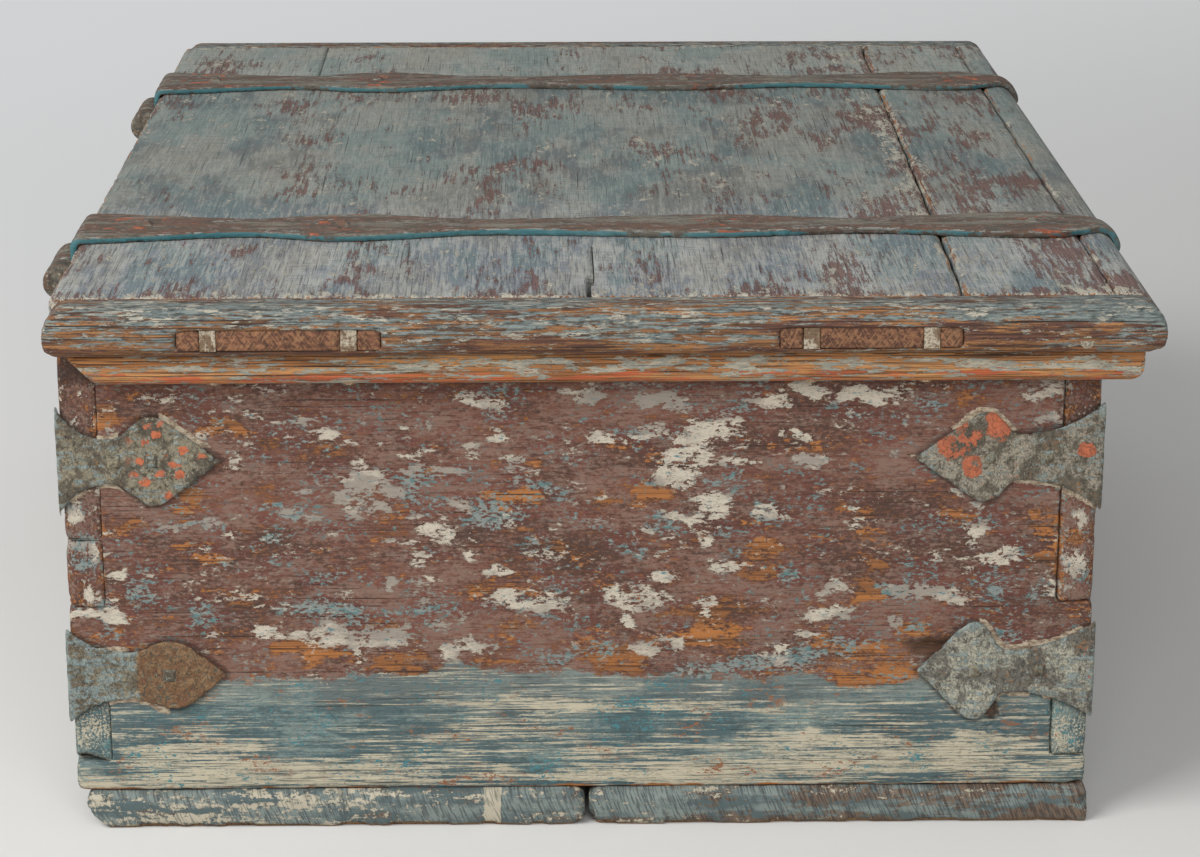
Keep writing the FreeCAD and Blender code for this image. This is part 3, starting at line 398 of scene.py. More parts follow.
    def pine(self, axis, light, middle, dark, seed=0):
        """Colour of old pine: broad rings and fine dark lines along the grain."""
        broad = self.grained(axis, 0.22, 0.008, seed + 1, 3.0)
        lines = self.grained(axis, 0.09, 0.0011, seed + 2, 3.0)
        colour = self.over(light, middle, broad, 0.5, 0.14)
        return self.over(colour, dark, lines, 0.58, 0.10), lines


# Colours that several coats share
CREAM = "c8bdab"
CREAM_DIRTY = "9a9084"
TEAL = "587a7a"
BLUE_GREY = "878d88"
PRIMER = "c46c47"
WOOD_LIGHT = "b0713c"
WOOD_MIDDLE = "8a5a36"
WOOD_DARK = "4a3223"
INSIDE_LIGHT = "9c7a55"
INSIDE_MIDDLE = "7f6144"
INSIDE_DARK = "5a4431"

# Where coats change on the walls: heights above the ground, with the noise that makes an edge ragged
RUBBED_BELOW = 125 * MM
BAND_TOP = 113.5 * MM
SMOKE_ABOVE = 87 * MM
PALE_BELOW = 40 * MM
BARE_FOOT = 27 * MM
# Above this height the walls are darkened under the moulding: painted shade, not a coat
SKIRT_SHADE_ABOVE = 245.5 * MM

# Where they change on the lid: along x, along y and above the ground
FAR_LID = -160 * MM
LIGHT_END = 225 * MM
FRONT_LID = -140 * MM
STRAP_TURN = -200 * MM
CLEAT_COVER = 279 * MM
CLEAT_CREAM = 278.5 * MM
VERMILION_TOP = 251.5 * MM
RIDGE = 251 * MM, 257.5 * MM


def inside_wood(paint, axis):
    """Unpainted wood on the sides that the paint never reached."""
    colour, _ = paint.pine(axis, INSIDE_LIGHT, INSIDE_MIDDLE, INSIDE_DARK, seed=20)
    fibres = paint.grained(axis, 0.040, 0.0010, 24, 3.0)
    stains = paint.grained(axis, 0.16, 0.07, 25, 5.0, 0.65)
    colour = paint.over(colour, "46352a", fibres, 0.57, 0.06, 0.6)
    return paint.over(colour, "57463a", stains, 0.55, 0.06, 0.5)


def wall_paint(name, axis):
    """Red-brown over blue and cream, with a blue-grey band along the foot."""
    paint = Paint(name)
    wood, lines = paint.pine(axis, WOOD_LIGHT, WOOD_MIDDLE, WOOD_DARK)
    edge = paint.mark("edge")
    cream_mark = paint.mark("cream")
    teal_mark = paint.mark("teal")
    bare_mark = paint.mark("bare")
    height = paint.axis("z")
    fibres = paint.grained(axis, 0.020, 0.0008, 14, 3.0)
    dust = paint.grained(axis, 0.0030, 0.0015, 15, 4.0, 0.75)
    speck = paint.grained(axis, 0.0075, 0.0026, 3, 8.0, 0.78)
    grains = paint.grained(axis, 0.0060, 0.0022, 4, 8.0, 0.78)
    clump = paint.grained(axis, 0.034, 0.013, 5, 5.0, 0.65)
    knots = paint.grained(axis, 0.030, 0.014, 7, 5.0, 0.65)
    tone = paint.grained(axis, 0.085, 0.030, 16, 5.0, 0.62)

    blotches = paint.total((speck, 0.5), (dust, 0.5), (tone, 0.45))
    coat = paint.over("50392f", "7a5345", blotches, 0.697, 0.060)
    coat = paint.over(coat, "733f36", knots, 0.53, 0.05, 0.45)
    haze = paint.step(paint.total((grains, 0.6), (dust, 0.4), (clump, -0.4), (tone, 0.2)), 0.415, 0.035)
    coat = paint.blend(paint.scaled(haze, 0.50), coat, "8f796c")
    coat = paint.over(coat, "41302a", fibres, 0.60, 0.06, 0.55)
    coat = paint.over(coat, "33231d", lines, 0.67, 0.03)

    low_zone = paint.step(height, RUBBED_BELOW, 0.045)
    rubbed = paint.total((speck, 0.5), (dust, 0.25), (clump, 0.45))
    bare_share = paint.step(paint.total((rubbed, 1.0), (bare_mark, 0.085), (edge, 0.05), (low_zone, -0.022)),
                            0.646, 0.010)
    crumbs = paint.total((dust, 0.6), (grains, 0.3), (knots, 0.5))
    teal_share = paint.step(paint.total((crumbs, 1.0), (teal_mark, 0.075), (cream_mark, 0.03), (edge, 0.03)),
                            0.780, 0.010)
    flakes = paint.grained(axis, 0.018, 0.007, 9, 10.0, 0.74, 0.3)
    loss = paint.total((flakes, 0.5), (dust, 0.25), (grains, 0.25), (cream_mark, 0.092), (edge, 0.02))
    cream_share = paint.step(loss, 0.563, 0.005)
    ground = paint.over(CREAM, CREAM_DIRTY, paint.total((tone, 0.6), (knots, 0.4)), 0.51, 0.05)
    ground = paint.over(ground, "857b70", dust, 0.56, 0.05, 0.45)
    ground = paint.over(ground, "5c8084", speck, 0.590, 0.012)
    blue = paint.over(BLUE_GREY, TEAL, grains, 0.54, 0.03)

    upper = paint.blend(bare_share, coat, wood)
    upper = paint.blend(teal_share, upper, blue)
    upper = paint.blend(cream_share, upper, ground)

    brush = paint.grained(axis, 0.048, 0.0013, 11, 4.0, 0.70)
    pale = paint.grained(axis, 0.13, 0.016, 12, 5.0, 0.6)
    band = paint.over("4f6366", "81908b", paint.total((tone, 0.5), (speck, 0.4), (brush, 0.3)), 0.60, 0.05)
    smoke = paint.step(paint.total((height, 1.0), (pale, 0.04)), SMOKE_ABOVE, 0.010)
    band = paint.blend(paint.scaled(smoke, 0.45), band, "7d7d76")
    low = paint.step(height, PALE_BELOW, 0.020)
    worn = paint.total((brush, 0.75), (pale, 0.3), (dust, 0.25), (cream_mark, 0.075), (teal_mark, -0.07),
                       (smoke, -0.05), (low, -0.02))
    band = paint.over(band, "c2b8a0", worn, 0.661, 0.030)
    band = paint.over(band, "4f5c5c", fibres, 0.58, 0.05, 0.7)
    band = paint.over(band, "434c49", lines, 0.64, 0.03)
    band = paint.over(band, "4a7d83", crumbs, 0.795, 0.012)
    band = paint.over(band, "8c5f43", paint.total((rubbed, 1.0), (bare_mark, 0.03)), 0.685, 0.010)

    ragged = paint.grained(axis, 0.05, 0.02, 13, 8.0, 0.7)
    line = paint.total((ragged, 0.040), (dust, 0.020), (height, 1.0), (bare_mark, 0.014))
    colour = paint.over(band, upper, line, BAND_TOP, 0.0012)
    foot = paint.total((fibres, 0.004), (clump, 0.010), (height, 1.0))
    colour = paint.over(wood, colour, foot, BARE_FOOT, 0.0006)
    # Painted shade: the top of the wall darkens under the moulding
    skirt_shade = paint.step(paint.total((height, 1.0), (clump, 0.008)), SKIRT_SHADE_ABOVE, 0.0030)
    colour = paint.blend(paint.scaled(skirt_shade, 0.6), colour, "2f211b")
    # Painted shade: the wall darkens right round the irons
    colour = paint.blend(paint.scaled(paint.mark("iron_contact_shade"), 0.5), colour, "2b201b")
    bead = paint.total((paint.mark("bead"), 1.0), (dust, 1.2), (speck, 0.8))
    colour = paint.over(colour, paint.over("b8aa93", "84705d", grains, 0.5, 0.06), bead, 1.50, 0.06)
    # Hollows are darkened: dirt and painted shade
    hollow_dirt_and_shade = paint.over("38271c", "5c3e29", fibres, 0.5, 0.1)
    colour = paint.blend(paint.scaled(paint.mark("hollow_dirt_and_shade"), 0.85), colour, hollow_dirt_and_shade)
    colour = paint.blend(paint.mark("outer"), inside_wood(paint, axis), colour)

    lost = paint.calc("MAXIMUM", cream_share, paint.calc("MAXIMUM", bare_share, teal_share))
    return paint.finish(colour, paint.total((tone, 0.25), (0.62, 1.0)),
                        (lost, -0.00016), (lines, -0.0003), (fibres, -0.0002), (speck, 0.0003))


def lid_paint(name, axis):
    """Grey-blue on top of the lid, rubbed through to red-brown and cream along its joints."""
    paint = Paint(name)
    wood, lines = paint.pine(axis, WOOD_LIGHT, WOOD_MIDDLE, WOOD_DARK, seed=3)
    edge = paint.mark("edge")
    seam = paint.mark("seam")
    cross = {"x": "y", "y": "x"}[axis]
    fibres = paint.grained(axis, 0.026, 0.0009, 31, 3.0)
    hatch = paint.grained(cross, 0.018, 0.0015, 32, 3.0)
    dust = paint.grained(axis, 0.0040, 0.0016, 33, 4.0, 0.75)
    cloud = paint.grained(axis, 0.10, 0.05, 34, 5.0, 0.65)
    streaks = paint.grained(axis, 0.030, 0.0026, 35, 6.0, 0.70)
    zones = paint.grained(axis, 0.09, 0.045, 36, 3.0)

    stain = paint.grained(axis, 0.12, 0.05, 30, 4.0, 0.65)
    far_share = paint.step(paint.axis("x"), FAR_LID, 0.06)
    near = paint.over("7a8087", "a2a3a0", cloud, 0.5, 0.07)
    far = paint.over("646a68", "8a8e87", cloud, 0.5, 0.07)
    coat = paint.blend(far_share, near, far)
    end = paint.step(paint.axis("x"), LIGHT_END, 0.02)
    coat = paint.blend(paint.scaled(end, 0.7), coat, "a5a89f")
    coat = paint.over(coat, "5d7978", stain, 0.54, 0.05, 0.45)
    beige = paint.step(paint.scaled(stain, -1.0), -0.46, 0.05)
    coat = paint.blend(paint.scaled(beige, 0.40), coat, "8b8475")
    coat = paint.over(coat, "5f676a", hatch, 0.55, 0.07, 0.50)
    pale = paint.total((streaks, 0.6), (dust, 0.3), (hatch, 0.15))
    pale_share = paint.scaled(paint.step(pale, 0.55, 0.018), paint.total((far_share, -0.24), (0.48, 1.0)))
    coat = paint.blend(pale_share, coat, "b3b2a8")
    thread_share = paint.scaled(paint.step(fibres, 0.58, 0.04), paint.total((far_share, -0.30), (0.65, 1.0)))
    coat = paint.blend(thread_share, coat, "505655")

    front = paint.step(paint.axis("y"), FRONT_LID, 0.06)
    brown = paint.total((streaks, -0.5), (zones, 0.6), (dust, 0.30), (seam, 0.05), (edge, 0.05),
                        (front, -0.035))
    brown_share = paint.step(brown, 0.244, 0.012)
    brown_coat = paint.over("75524a", "573c35", fibres, 0.5, 0.1)
    colour = paint.blend(paint.scaled(brown_share, 0.85), coat, brown_coat)
    flakes = paint.grained(axis, 0.020, 0.008, 37, 9.0, 0.72)
    cream = paint.total((flakes, 0.6), (dust, 0.4), (seam, 0.05), (edge, 0.04), (zones, 0.10))
    cream_share = paint.step(cream, 0.620, 0.006)
    colour = paint.blend(cream_share, colour, paint.over("b8b2a2", "969184", dust, 0.55, 0.05))
    bare_share = paint.step(paint.total((streaks, 0.5), (fibres, 0.3), (edge, 0.16)), 0.57, 0.02)
    colour = paint.blend(bare_share, colour, wood)
    colour = paint.over(colour, "3f3b38", lines, 0.66, 0.04)
    # Painted shade: the floors of the splits are near black
    colour = paint.blend(paint.mark("split"), colour, "120f0d")
    colour = paint.blend(paint.mark("cut"), colour, end_grain(paint))
    colour = paint.blend(paint.mark("outer"), inside_wood(paint, axis), colour)

    return paint.finish(colour, paint.total((cloud, 0.2), (0.62, 1.0)),
                        (brown_share, -0.0001), (cream_share, 0.00012), (lines, -0.0003), (fibres, -0.0002),
                        (hatch, 0.0001))


def end_grain(paint):
    """Dark wood where a tenon is cut across, with two ways of saw marks."""
    rings = paint.grit((0.02, 0.006, 0.0016), 38, 4.0)
    one_way = paint.grit((0.02, 0.0011, 0.006), 39, 2.0, turn=0.6)
    other_way = paint.grit((0.02, 0.0011, 0.006), 40, 2.0, turn=-0.6)
    colour = paint.over("6b4636", "8f6447", rings, 0.5, 0.10)
    colour = paint.over(colour, "3e2a20", one_way, 0.54, 0.05, 0.7)
    return paint.over(colour, "a57c58", other_way, 0.57, 0.05, 0.5)


def cleat_paint(name):
    """Grain-streaked wood below, blue-grey, cream and red-brown above."""
    paint = Paint(name)
    axis = "y"
    wood, lines = paint.pine(axis, "b07b4b", "8f623d", "4f3727", seed=6)
    height = paint.axis("z")
    fibres = paint.grained(axis, 0.030, 0.0008, 41, 3.0)
    crumbs = paint.grained(axis, 0.006, 0.0014, 42, 5.0, 0.75)
    streaks = paint.grained(axis, 0.034, 0.0022, 43, 8.0, 0.74)
    broad = paint.grained(axis, 0.11, 0.012, 44, 3.0)
    wood = paint.over(wood, "503a2a", fibres, 0.54, 0.08, 0.75)
    brown = paint.grained(axis, 0.036, 0.0032, 45, 8.0, 0.72)
    brown_share = paint.step(paint.total((brown, 0.7), (broad, -0.4), (crumbs, 0.2)), 0.262, 0.02)
    colour = paint.blend(brown_share, wood, paint.over("6c4839", "4c332a", fibres, 0.5, 0.1))
    grey = paint.over("5f6a69", "868e8a", crumbs, 0.5, 0.08)
    grey = paint.over(grey, "4c4d47", fibres, 0.55, 0.06, 0.75)
    rise = 4.0
    cover = paint.total((streaks, 0.7), (broad, 0.4), (crumbs, 0.25), (height, rise),
                        (paint.mark("tip"), 0.05))
    cover_share = paint.step(cover, rise * CLEAT_COVER + 0.686, 0.012)
    colour = paint.blend(cover_share, colour, grey)
    flakes = paint.grained(axis, 0.016, 0.0034, 46, 9.0, 0.74)
    cream_rise = 1.2
    cream = paint.total((flakes, 0.6), (crumbs, 0.4), (height, cream_rise), (broad, 0.12))
    cream_share = paint.step(cream, cream_rise * CLEAT_CREAM + 0.609, 0.005)
    colour = paint.blend(cream_share, colour, paint.over("bdb4a2", "9a988c", crumbs, 0.54, 0.05))
    colour = paint.over(colour, "35271d", lines, 0.63, 0.04)
    colour = paint.over(colour, "2f2923", paint.scaled(crumbs, -1.0), -0.405, 0.02, 0.7)
    colour = paint.blend(paint.mark("outer"), inside_wood(paint, axis), colour)
    return paint.finish(colour, paint.total((broad, 0.2), (0.62, 1.0)),
                        (cover_share, 0.00012), (cream_share, 0.00015), (lines, -0.0005), (fibres, -0.0004))


def skirt_paint(name, axis):
    """A bare moulding with deep grain, flecks of cream and vermilion left along its lower edge."""
    paint = Paint(name)
    wood, lines = paint.pine(axis, "d39a62", "b07444", "4f3322", seed=9)
    height = paint.axis("z")
    fibres = paint.grained(axis, 0.060, 0.0008, 51, 3.0)
    crumbs = paint.grained(axis, 0.006, 0.0014, 52, 5.0, 0.75)
    broad = paint.grained(axis, 0.10, 0.010, 53, 3.0)
    colour = paint.over(wood, "543824", fibres, 0.54, 0.05, 0.8)
    flakes = paint.grained(axis, 0.034, 0.0026, 54, 8.0, 0.72)
    high = paint.step(height, VERMILION_TOP, 0.0025)
    low = paint.total((flakes, 0.7), (crumbs, 0.2), (broad, 0.25), (high, -0.12))
    primer_share = paint.step(low, 0.585, 0.010)
    colour = paint.blend(primer_share, colour, paint.over("cf6d45", "a95737", fibres, 0.5, 0.1))
    crust = paint.grained(axis, 0.028, 0.0040, 55, 8.0, 0.74)
    ridge = paint.calc("SUBTRACT", *(paint.step(height, side, 0.0015) for side in RIDGE))
    cream = paint.total((crust, 0.6), (crumbs, 0.4), (ridge, 0.035), (broad, 0.20))
    cream_share = paint.step(cream, 0.638, 0.005)
    pale = paint.over("bdb29d", "94958a", crumbs, 0.52, 0.06)
    colour = paint.blend(cream_share, colour, pale)
    colour = paint.over(colour, "422d1f", lines, 0.62, 0.04)
    return paint.finish(colour, paint.total((broad, 0.2), (0.62, 1.0)),
                        (cream_share, 0.0003), (lines, -0.0006), (fibres, -0.0005))


def bottom_paint(name):
    """Blue-grey over saw marks, with cream and brown where it has gone."""
    paint = Paint(name)
    edge = paint.mark("edge")
    along = paint.axis("y")
    saw = paint.grit((0.05, 0.0009, 0.008), 61, 3.0, turn=0.40)
    cloud = paint.grit((0.03, 0.05, 0.010), 62, 6.0, 0.65)
    crumbs = paint.grit(0.0034, 63, 5.0, 0.75)
    streaks = paint.grit((0.03, 0.030, 0.005), 64, 8.0, 0.72)
    grey = paint.over("546364", "7f8984", cloud, 0.5, 0.08)
    hatch = paint.scaled(paint.step(saw, 0.53, 0.06), paint.step(cloud, 0.44, 0.05))
    colour = paint.blend(paint.scaled(hatch, 0.7), grey, "41474a")
    brown = paint.total((cloud, -0.4), (crumbs, 0.3), (streaks, 0.5), (along, -0.16))
    brown_share = paint.step(brown, 0.228, 0.02)
    colour = paint.blend(paint.scaled(brown_share, 0.85), colour,
                         paint.over("77604d", "4c3c32", saw, 0.5, 0.1))
    cream = paint.total((streaks, 0.5), (crumbs, 0.4), (edge, 0.025), (paint.mark("strip"), 0.3),
                        (along, 0.16))
    cream_share = paint.step(cream, 0.503, 0.006)
    colour = paint.blend(cream_share, colour, paint.over("b9b09c", "8a887a", saw, 0.57, 0.05))
    colour = paint.blend(paint.mark("outer"), inside_wood(paint, "x"), colour)
    return paint.finish(colour, paint.total((cloud, 0.2), (0.65, 1.0)),
                        (saw, -0.0004), (cream_share, 0.00015), (crumbs, 0.00012))


def iron_paint(name, look, seed):
    """Old forged iron under what is left of its paint; the look says how much of each coat shows."""
    paint = Paint(name)
    edge = paint.mark("edge")
    leaf = paint.mark("leaf")
    cloud = paint.grit(0.014, seed + 71, 6.0, 0.65)
    crust = paint.grit(0.0036, seed + 72, 5.0, 0.75)
    spots = paint.grit(0.010, seed + 73, 4.0, 0.60)
    pits = paint.grit(0.0012, seed + 74, 3.0)
    brush = paint.grit((0.02, 0.02, 0.0016), seed + 75, 4.0, 0.6)
    colour = paint.over(look["dark"], look["light"], paint.total((cloud, 0.6), (crust, 0.4)), 0.5, 0.045)
    rust = paint.total((cloud, -0.3), (crust, 0.5), (pits, 0.2), (leaf, look["rust"]))
    rust_coat = paint.over("6e4e32", "8a6b4a", crust, 0.5, 0.08)
    rust_coat = paint.over(rust_coat, "9a6340", paint.total((crust, -0.5), (pits, 0.5)), 0.060, 0.02)
    rust_coat = paint.over(rust_coat, "5f6b60", paint.total((spots, 0.3), (pits, 0.7)), 0.575, 0.02)
    rust_share = paint.step(rust, 0.255, 0.03)
    colour = paint.blend(rust_share, colour, rust_coat)
    colour = paint.over(colour, "3b352d", pits, 0.56, 0.06, 0.7)
    blue = paint.total((crust, 0.45), (cloud, 0.25), (brush, 0.30), (edge, 0.07), (leaf, look["leaf_blue"]))
    blue_share = paint.step(blue, 0.595 - look["blue"], 0.015)
    blue_coat = paint.over("8c9692", "6b7a79", pits, 0.5, 0.08)
    colour = paint.blend(blue_share, colour, blue_coat)
    wrinkle = paint.grit(0.007, seed + 76, 3.0, 0.6, 1.5)
    crease = paint.calc("ABSOLUTE", paint.total((wrinkle, 1.0), (-0.5, 1.0)))
    crease_share = paint.calc("SUBTRACT", 1.0, paint.step(crease, 0.014, 0.010))
    colour = paint.blend(paint.scaled(crease_share, 0.40), colour, "3d382f")
    salt = paint.total((crust, 0.5), (pits, 0.5), (edge, 0.02), (rust_share, -0.06))
    grit_share = paint.step(salt, 0.570, 0.012)
    colour = paint.blend(paint.scaled(grit_share, 0.8), colour, "aaa693")
    primer = paint.total((spots, 0.45), (crust, 0.55), (leaf, look["primer"]), (paint.mark("lead"), 0.16))
    dots = paint.scaled(paint.dots((0.02, 0.0100, 0.0075), seed + 3, 0.25, 0.29, crust), leaf)
    primer_share = paint.calc("MAXIMUM", paint.step(primer, 0.640, 0.010), paint.scaled(dots, look["dots"]))
    colour = paint.blend(primer_share, colour, paint.over(PRIMER, "ac6245", crust, 0.5, 0.08))
    return paint.finish(colour, paint.total((cloud, 0.3), (0.5, 1.0)),
                        (crust, 0.0008), (pits, 0.0003), (blue_share, 0.00015), (primer_share, 0.0001),
                        (crease_share, -0.0003), shine=0.45)


def strap_paint(name):
    """Rust-brown iron on top, blue on its edges, red lead at the nails, painted shade on its sides."""
    paint = Paint(name)
    side = paint.mark("side")
    cloud = paint.grit((0.012, 0.06, 0.012), 81, 6.0, 0.65)
    streaks = paint.grit((0.0014, 0.030, 0.0014), 82, 4.0)
    crust = paint.grit((0.003, 0.006, 0.003), 83, 5.0, 0.75)
    spots = paint.grit((0.010, 0.014, 0.010), 84, 4.0, 0.60)
    pits = paint.grit(0.0012, 85, 3.0)
    colour = paint.over("554e44", "7e786b", paint.total((cloud, 0.6), (crust, 0.4)), 0.5, 0.05)
    rust = paint.total((cloud, -0.5), (crust, 0.5), (pits, 0.2))
    colour = paint.over(colour, "6d4f3e", rust, 0.112, 0.03)
    colour = paint.over(colour, "3b342d", streaks, 0.54, 0.07, 0.7)
    grey = paint.total((crust, 0.5), (streaks, 0.5), (paint.mark("edge"), 0.06))
    colour = paint.over(colour, "8f928c", grey, 0.578, 0.02)
    lead = paint.total((spots, 0.7), (crust, 0.3), (paint.mark("spots"), 0.09))
    lead_share = paint.step(lead, 0.655, 0.010)
    colour = paint.blend(lead_share, colour, paint.over(PRIMER, "8a4c35", crust, 0.5, 0.06))
    stretches = paint.grit((0.05, 0.11, 0.05), 86, 3.0)
    back = paint.step(paint.axis("y"), STRAP_TURN, 0.03)
    rim = paint.total((side, 0.5), (paint.mark("edge"), 0.10), (crust, 0.35), (stretches, 0.9), (back, 0.10))
    teal_share = paint.step(rim, 1.235, 0.02)
    # Painted shade: the strap's sides are darkened
    colour = paint.blend(paint.scaled(side, 0.6), colour, "473f37")
    colour = paint.blend(teal_share, colour, paint.over("34696f", "4a7276", cloud, 0.5, 0.12))
    return paint.finish(colour, paint.total((cloud, 0.3), (0.5, 1.0)),
                        (crust, 0.0006), (streaks, 0.0003), (lead_share, 0.00008), shine=0.45)


def forged_iron(name):
    """Dark iron with brown rust in its hollows."""
    paint = Paint(name)
    cloud = paint.grit(0.015, 91, 6.0, 0.65)
    crust = paint.grit(0.003, 92, 5.0, 0.7)
    pits = paint.grit(0.0012, 93, 3.0)
    colour = paint.over("4b463d", "766f61", paint.total((cloud, 0.6), (crust, 0.4)), 0.5, 0.06)
    colour = paint.over(colour, "644a38", paint.total((cloud, -0.5), (crust, 0.5)), 0.03, 0.03)
    colour = paint.over(colour, "352f29", pits, 0.56, 0.06, 0.7)
    colour = paint.over(colour, "98927f", paint.total((crust, 0.5), (pits, 0.5)), 0.580, 0.012)
    return paint.finish(colour, paint.total((cloud, 0.3), (0.48, 1.0)),
                        (crust, 0.0006), (cloud, 0.0004), (pits, 0.0002), shine=0.5)


def peg_wood(name, light, dark):
    """Cut wood, rough and a little dirty."""
    paint = Paint(name)
    cloud = paint.grit(0.006, 95, 5.0, 0.65)
    dots = paint.grit(0.0012, 96, 3.0)
    colour = paint.over(light, dark, cloud, 0.5, 0.06)
    colour = paint.over(colour, "4d3b2c", dots, 0.55, 0.08, 0.7)
    return paint.finish(colour, paint.total((cloud, 0.2), (0.65, 1.0)), (dots, -0.0003))


# Where the top coat has gone on the left end: (y, z, half width, half height)
CREAM_PATCHES = (
    (1, 235, 12, 4), (-35, 216, 6, 6), (-59, 211, 12, 9), (-55, 199, 12, 7), (-51, 189, 15, 5),
    (-75, 217, 8, 6), (-82, 198, 12, 3), (-6, 212, 9, 3), (-24, 209, 7, 3), (-46, 171, 7, 3),
    (-66, 174, 8, 8), (-57, 166, 4, 4), (-33, 163, 4, 3), (-64, 156, 3, 6), (-40, 136, 6, 4),
    (-24, 129, 9, 5), (-33, 122, 18, 5), (-24, 111, 5, 4), (-66, 121, 3, 5), (-75, 141, 7, 5),
    (-140, 169, 6, 5), (-115, 210, 3, 4), (-100, 228, 8, 4), (-84, 231, 6, 4), (-146, 234, 20, 4),
    (-115, 237, 9, 4), (-41, 230, 14, 5), (-204, 162, 10, 4), (-211, 146, 15, 3), (-129, 127, 8, 4),
    (-169, 127, 12, 4), (-187, 126, 12, 4), (-128, 116, 9, 4), (-162, 110, 4, 5), (-117, 104, 6, 3),
    (-102, 92, 4, 7), (-51, 100, 6, 3), (6, 99, 7, 3), (-35, 97, 6, 4), (-256, 168, 6, 6),
    (-254, 143, 6, 5), (-191, 180, 6, 3), (-205, 177, 5, 2), (-115, 198, 8, 3), (-95, 172, 9, 3),
    (-231, 237, 12, 5), (-236, 221, 8, 3),
    (178, 203, 6, 7), (130, 215, 8, 4), (139, 222, 3, 2), (91, 218, 3, 2), (80, 218, 3, 2),
    (112, 199, 4, 4), (110, 188, 9, 8), (97, 184, 6, 5), (120, 181, 5, 3), (106, 174, 6, 4),
    (118, 175, 3, 4), (88, 171, 4, 3), (64, 177, 9, 3), (73, 162, 9, 6), (92, 156, 13, 2),
    (57, 158, 2, 4), (57, 147, 3, 3), (81, 146, 4, 4), (80, 136, 4, 5), (97, 133, 6, 4),
    (57, 205, 4, 5), (46, 213, 6, 5), (38, 198, 6, 4), (49, 234, 9, 5), (195, 167, 9, 4),
    (211, 164, 4, 2), (144, 172, 12, 2), (128, 105, 35, 5), (117, 98, 6, 8), (164, 108, 8, 5),
    (97, 108, 8, 3), (70, 110, 8, 4), (43, 138, 6, 3), (39, 127, 9, 5), (27, 122, 17, 4),
    (59, 99, 8, 4), (68, 95, 4, 4), (68, 195, 7, 2), (84, 197, 7, 3), (83, 204, 8, 2),
    (238, 139, 6, 4), (240, 123, 4, 4), (191, 106, 6, 3), (251, 150, 4, 6), (252, 128, 5, 6),
    (256, 174, 6, 4), (255, 48, 8, 7), (250, 116, 14, 3), (-250, 131, 6, 2), (-255, 48, 7, 9),
    (200, 34, 34, 13), (120, 28, 50, 7), (25, 66, 48, 4), (10, 26, 50, 4), (-128, 38, 52, 13),
    (-56, 26, 25, 4), (-208, 38, 28, 10), (-68, 64, 45, 3),
)
TEAL_PATCHES = (
    (-51, 188, 14, 5), (-42, 166, 9, 6), (-77, 143, 8, 7), (-93, 171, 10, 4), (-30, 150, 8, 3),
    (1, 143, 8, 4), (-115, 94, 16, 8), (-89, 90, 12, 6), (-138, 97, 6, 5), (-238, 123, 6, 9),
    (-214, 126, 8, 4), (-158, 127, 6, 4), (-60, 84, 20, 5), (159, 159, 9, 5), (139, 120, 25, 5),
    (160, 176, 5, 2), (126, 207, 4, 3), (182, 145, 5, 4), (46, 170, 14, 5), (12, 184, 12, 3),
    (30, 125, 18, 7), (19, 92, 14, 5), (23, 153, 14, 4), (106, 240, 6, 2), (166, 90, 6, 6),
    (153, 170, 6, 2), (-257, 140, 5, 8), (255, 150, 7, 9), (246, 117, 6, 8),
    (256, 178, 7, 6), (252, 40, 9, 9), (-258, 163, 4, 5), (-256, 55, 5, 8),
    (-30, 50, 10, 6), (-110, 55, 42, 4), (130, 56, 58, 9), (28, 37, 28, 6),
)
BARE_PATCHES = (
    (-30, 180, 14, 4), (-93, 151, 12, 5), (-88, 138, 8, 5), (-122, 159, 6, 2), (-151, 157, 10, 6),
    (-191, 170, 10, 4), (-236, 166, 8, 10), (-240, 141, 7, 8), (-155, 141, 6, 4), (-97, 139, 3, 5),
    (-149, 125, 10, 8), (-51, 115, 18, 3), (-15, 94, 18, 10), (-151, 86, 26, 12), (-79, 104, 25, 4),
    (-124, 100, 8, 5), (-171, 104, 10, 6), (244, 222, 8, 5), (182, 217, 14, 3), (218, 225, 8, 3),
    (206, 172, 7, 6), (222, 167, 10, 4), (238, 163, 8, 3), (202, 154, 12, 2), (189, 147, 9, 3),
    (146, 96, 18, 7), (100, 90, 18, 6), (28, 110, 12, 3), (34, 178, 16, 4), (-17, 180, 10, 3),
    (19, 155, 10, 3), (200, 182, 8, 5), (-222, 55, 16, 8), (-252, 155, 6, 6), (257, 166, 5, 4),
)
LEFT_PATCHES = CREAM_PATCHES, TEAL_PATCHES, BARE_PATCHES
PATCH_SPREAD = 1.4


def patches(points, axis, table, warp=1.0):
    """How deep each point lies in the patches: one well inside a patch, nought at its rim and beyond."""
    along = points[:, axis] + 5 * MM * warp * layered(points, 14 * MM, 401)
    height = points[:, 2] + 4 * MM * warp * layered(points, 10 * MM, 402)
    depth = np.zeros(len(points))
    for place, level, half_width, half_height in table:
        across = (along - place * MM) / (PATCH_SPREAD * half_width * MM)
        up = (height - level * MM) / (PATCH_SPREAD * half_height * MM)
        depth = np.maximum(depth, 1 - np.sqrt(across ** 2 + up ** 2))
    return smooth_step(depth, 0.0, 0.5)


def random_patches(count, half_length, seed):
    """Patches for the sides that the photograph doesn't show."""
    draw = np.random.default_rng(seed)
    return [(draw.uniform(-half_length, half_length), draw.uniform(30, 240),
             draw.uniform(3, 18), draw.uniform(2, 9)) for _ in range(count)]


# Pieces

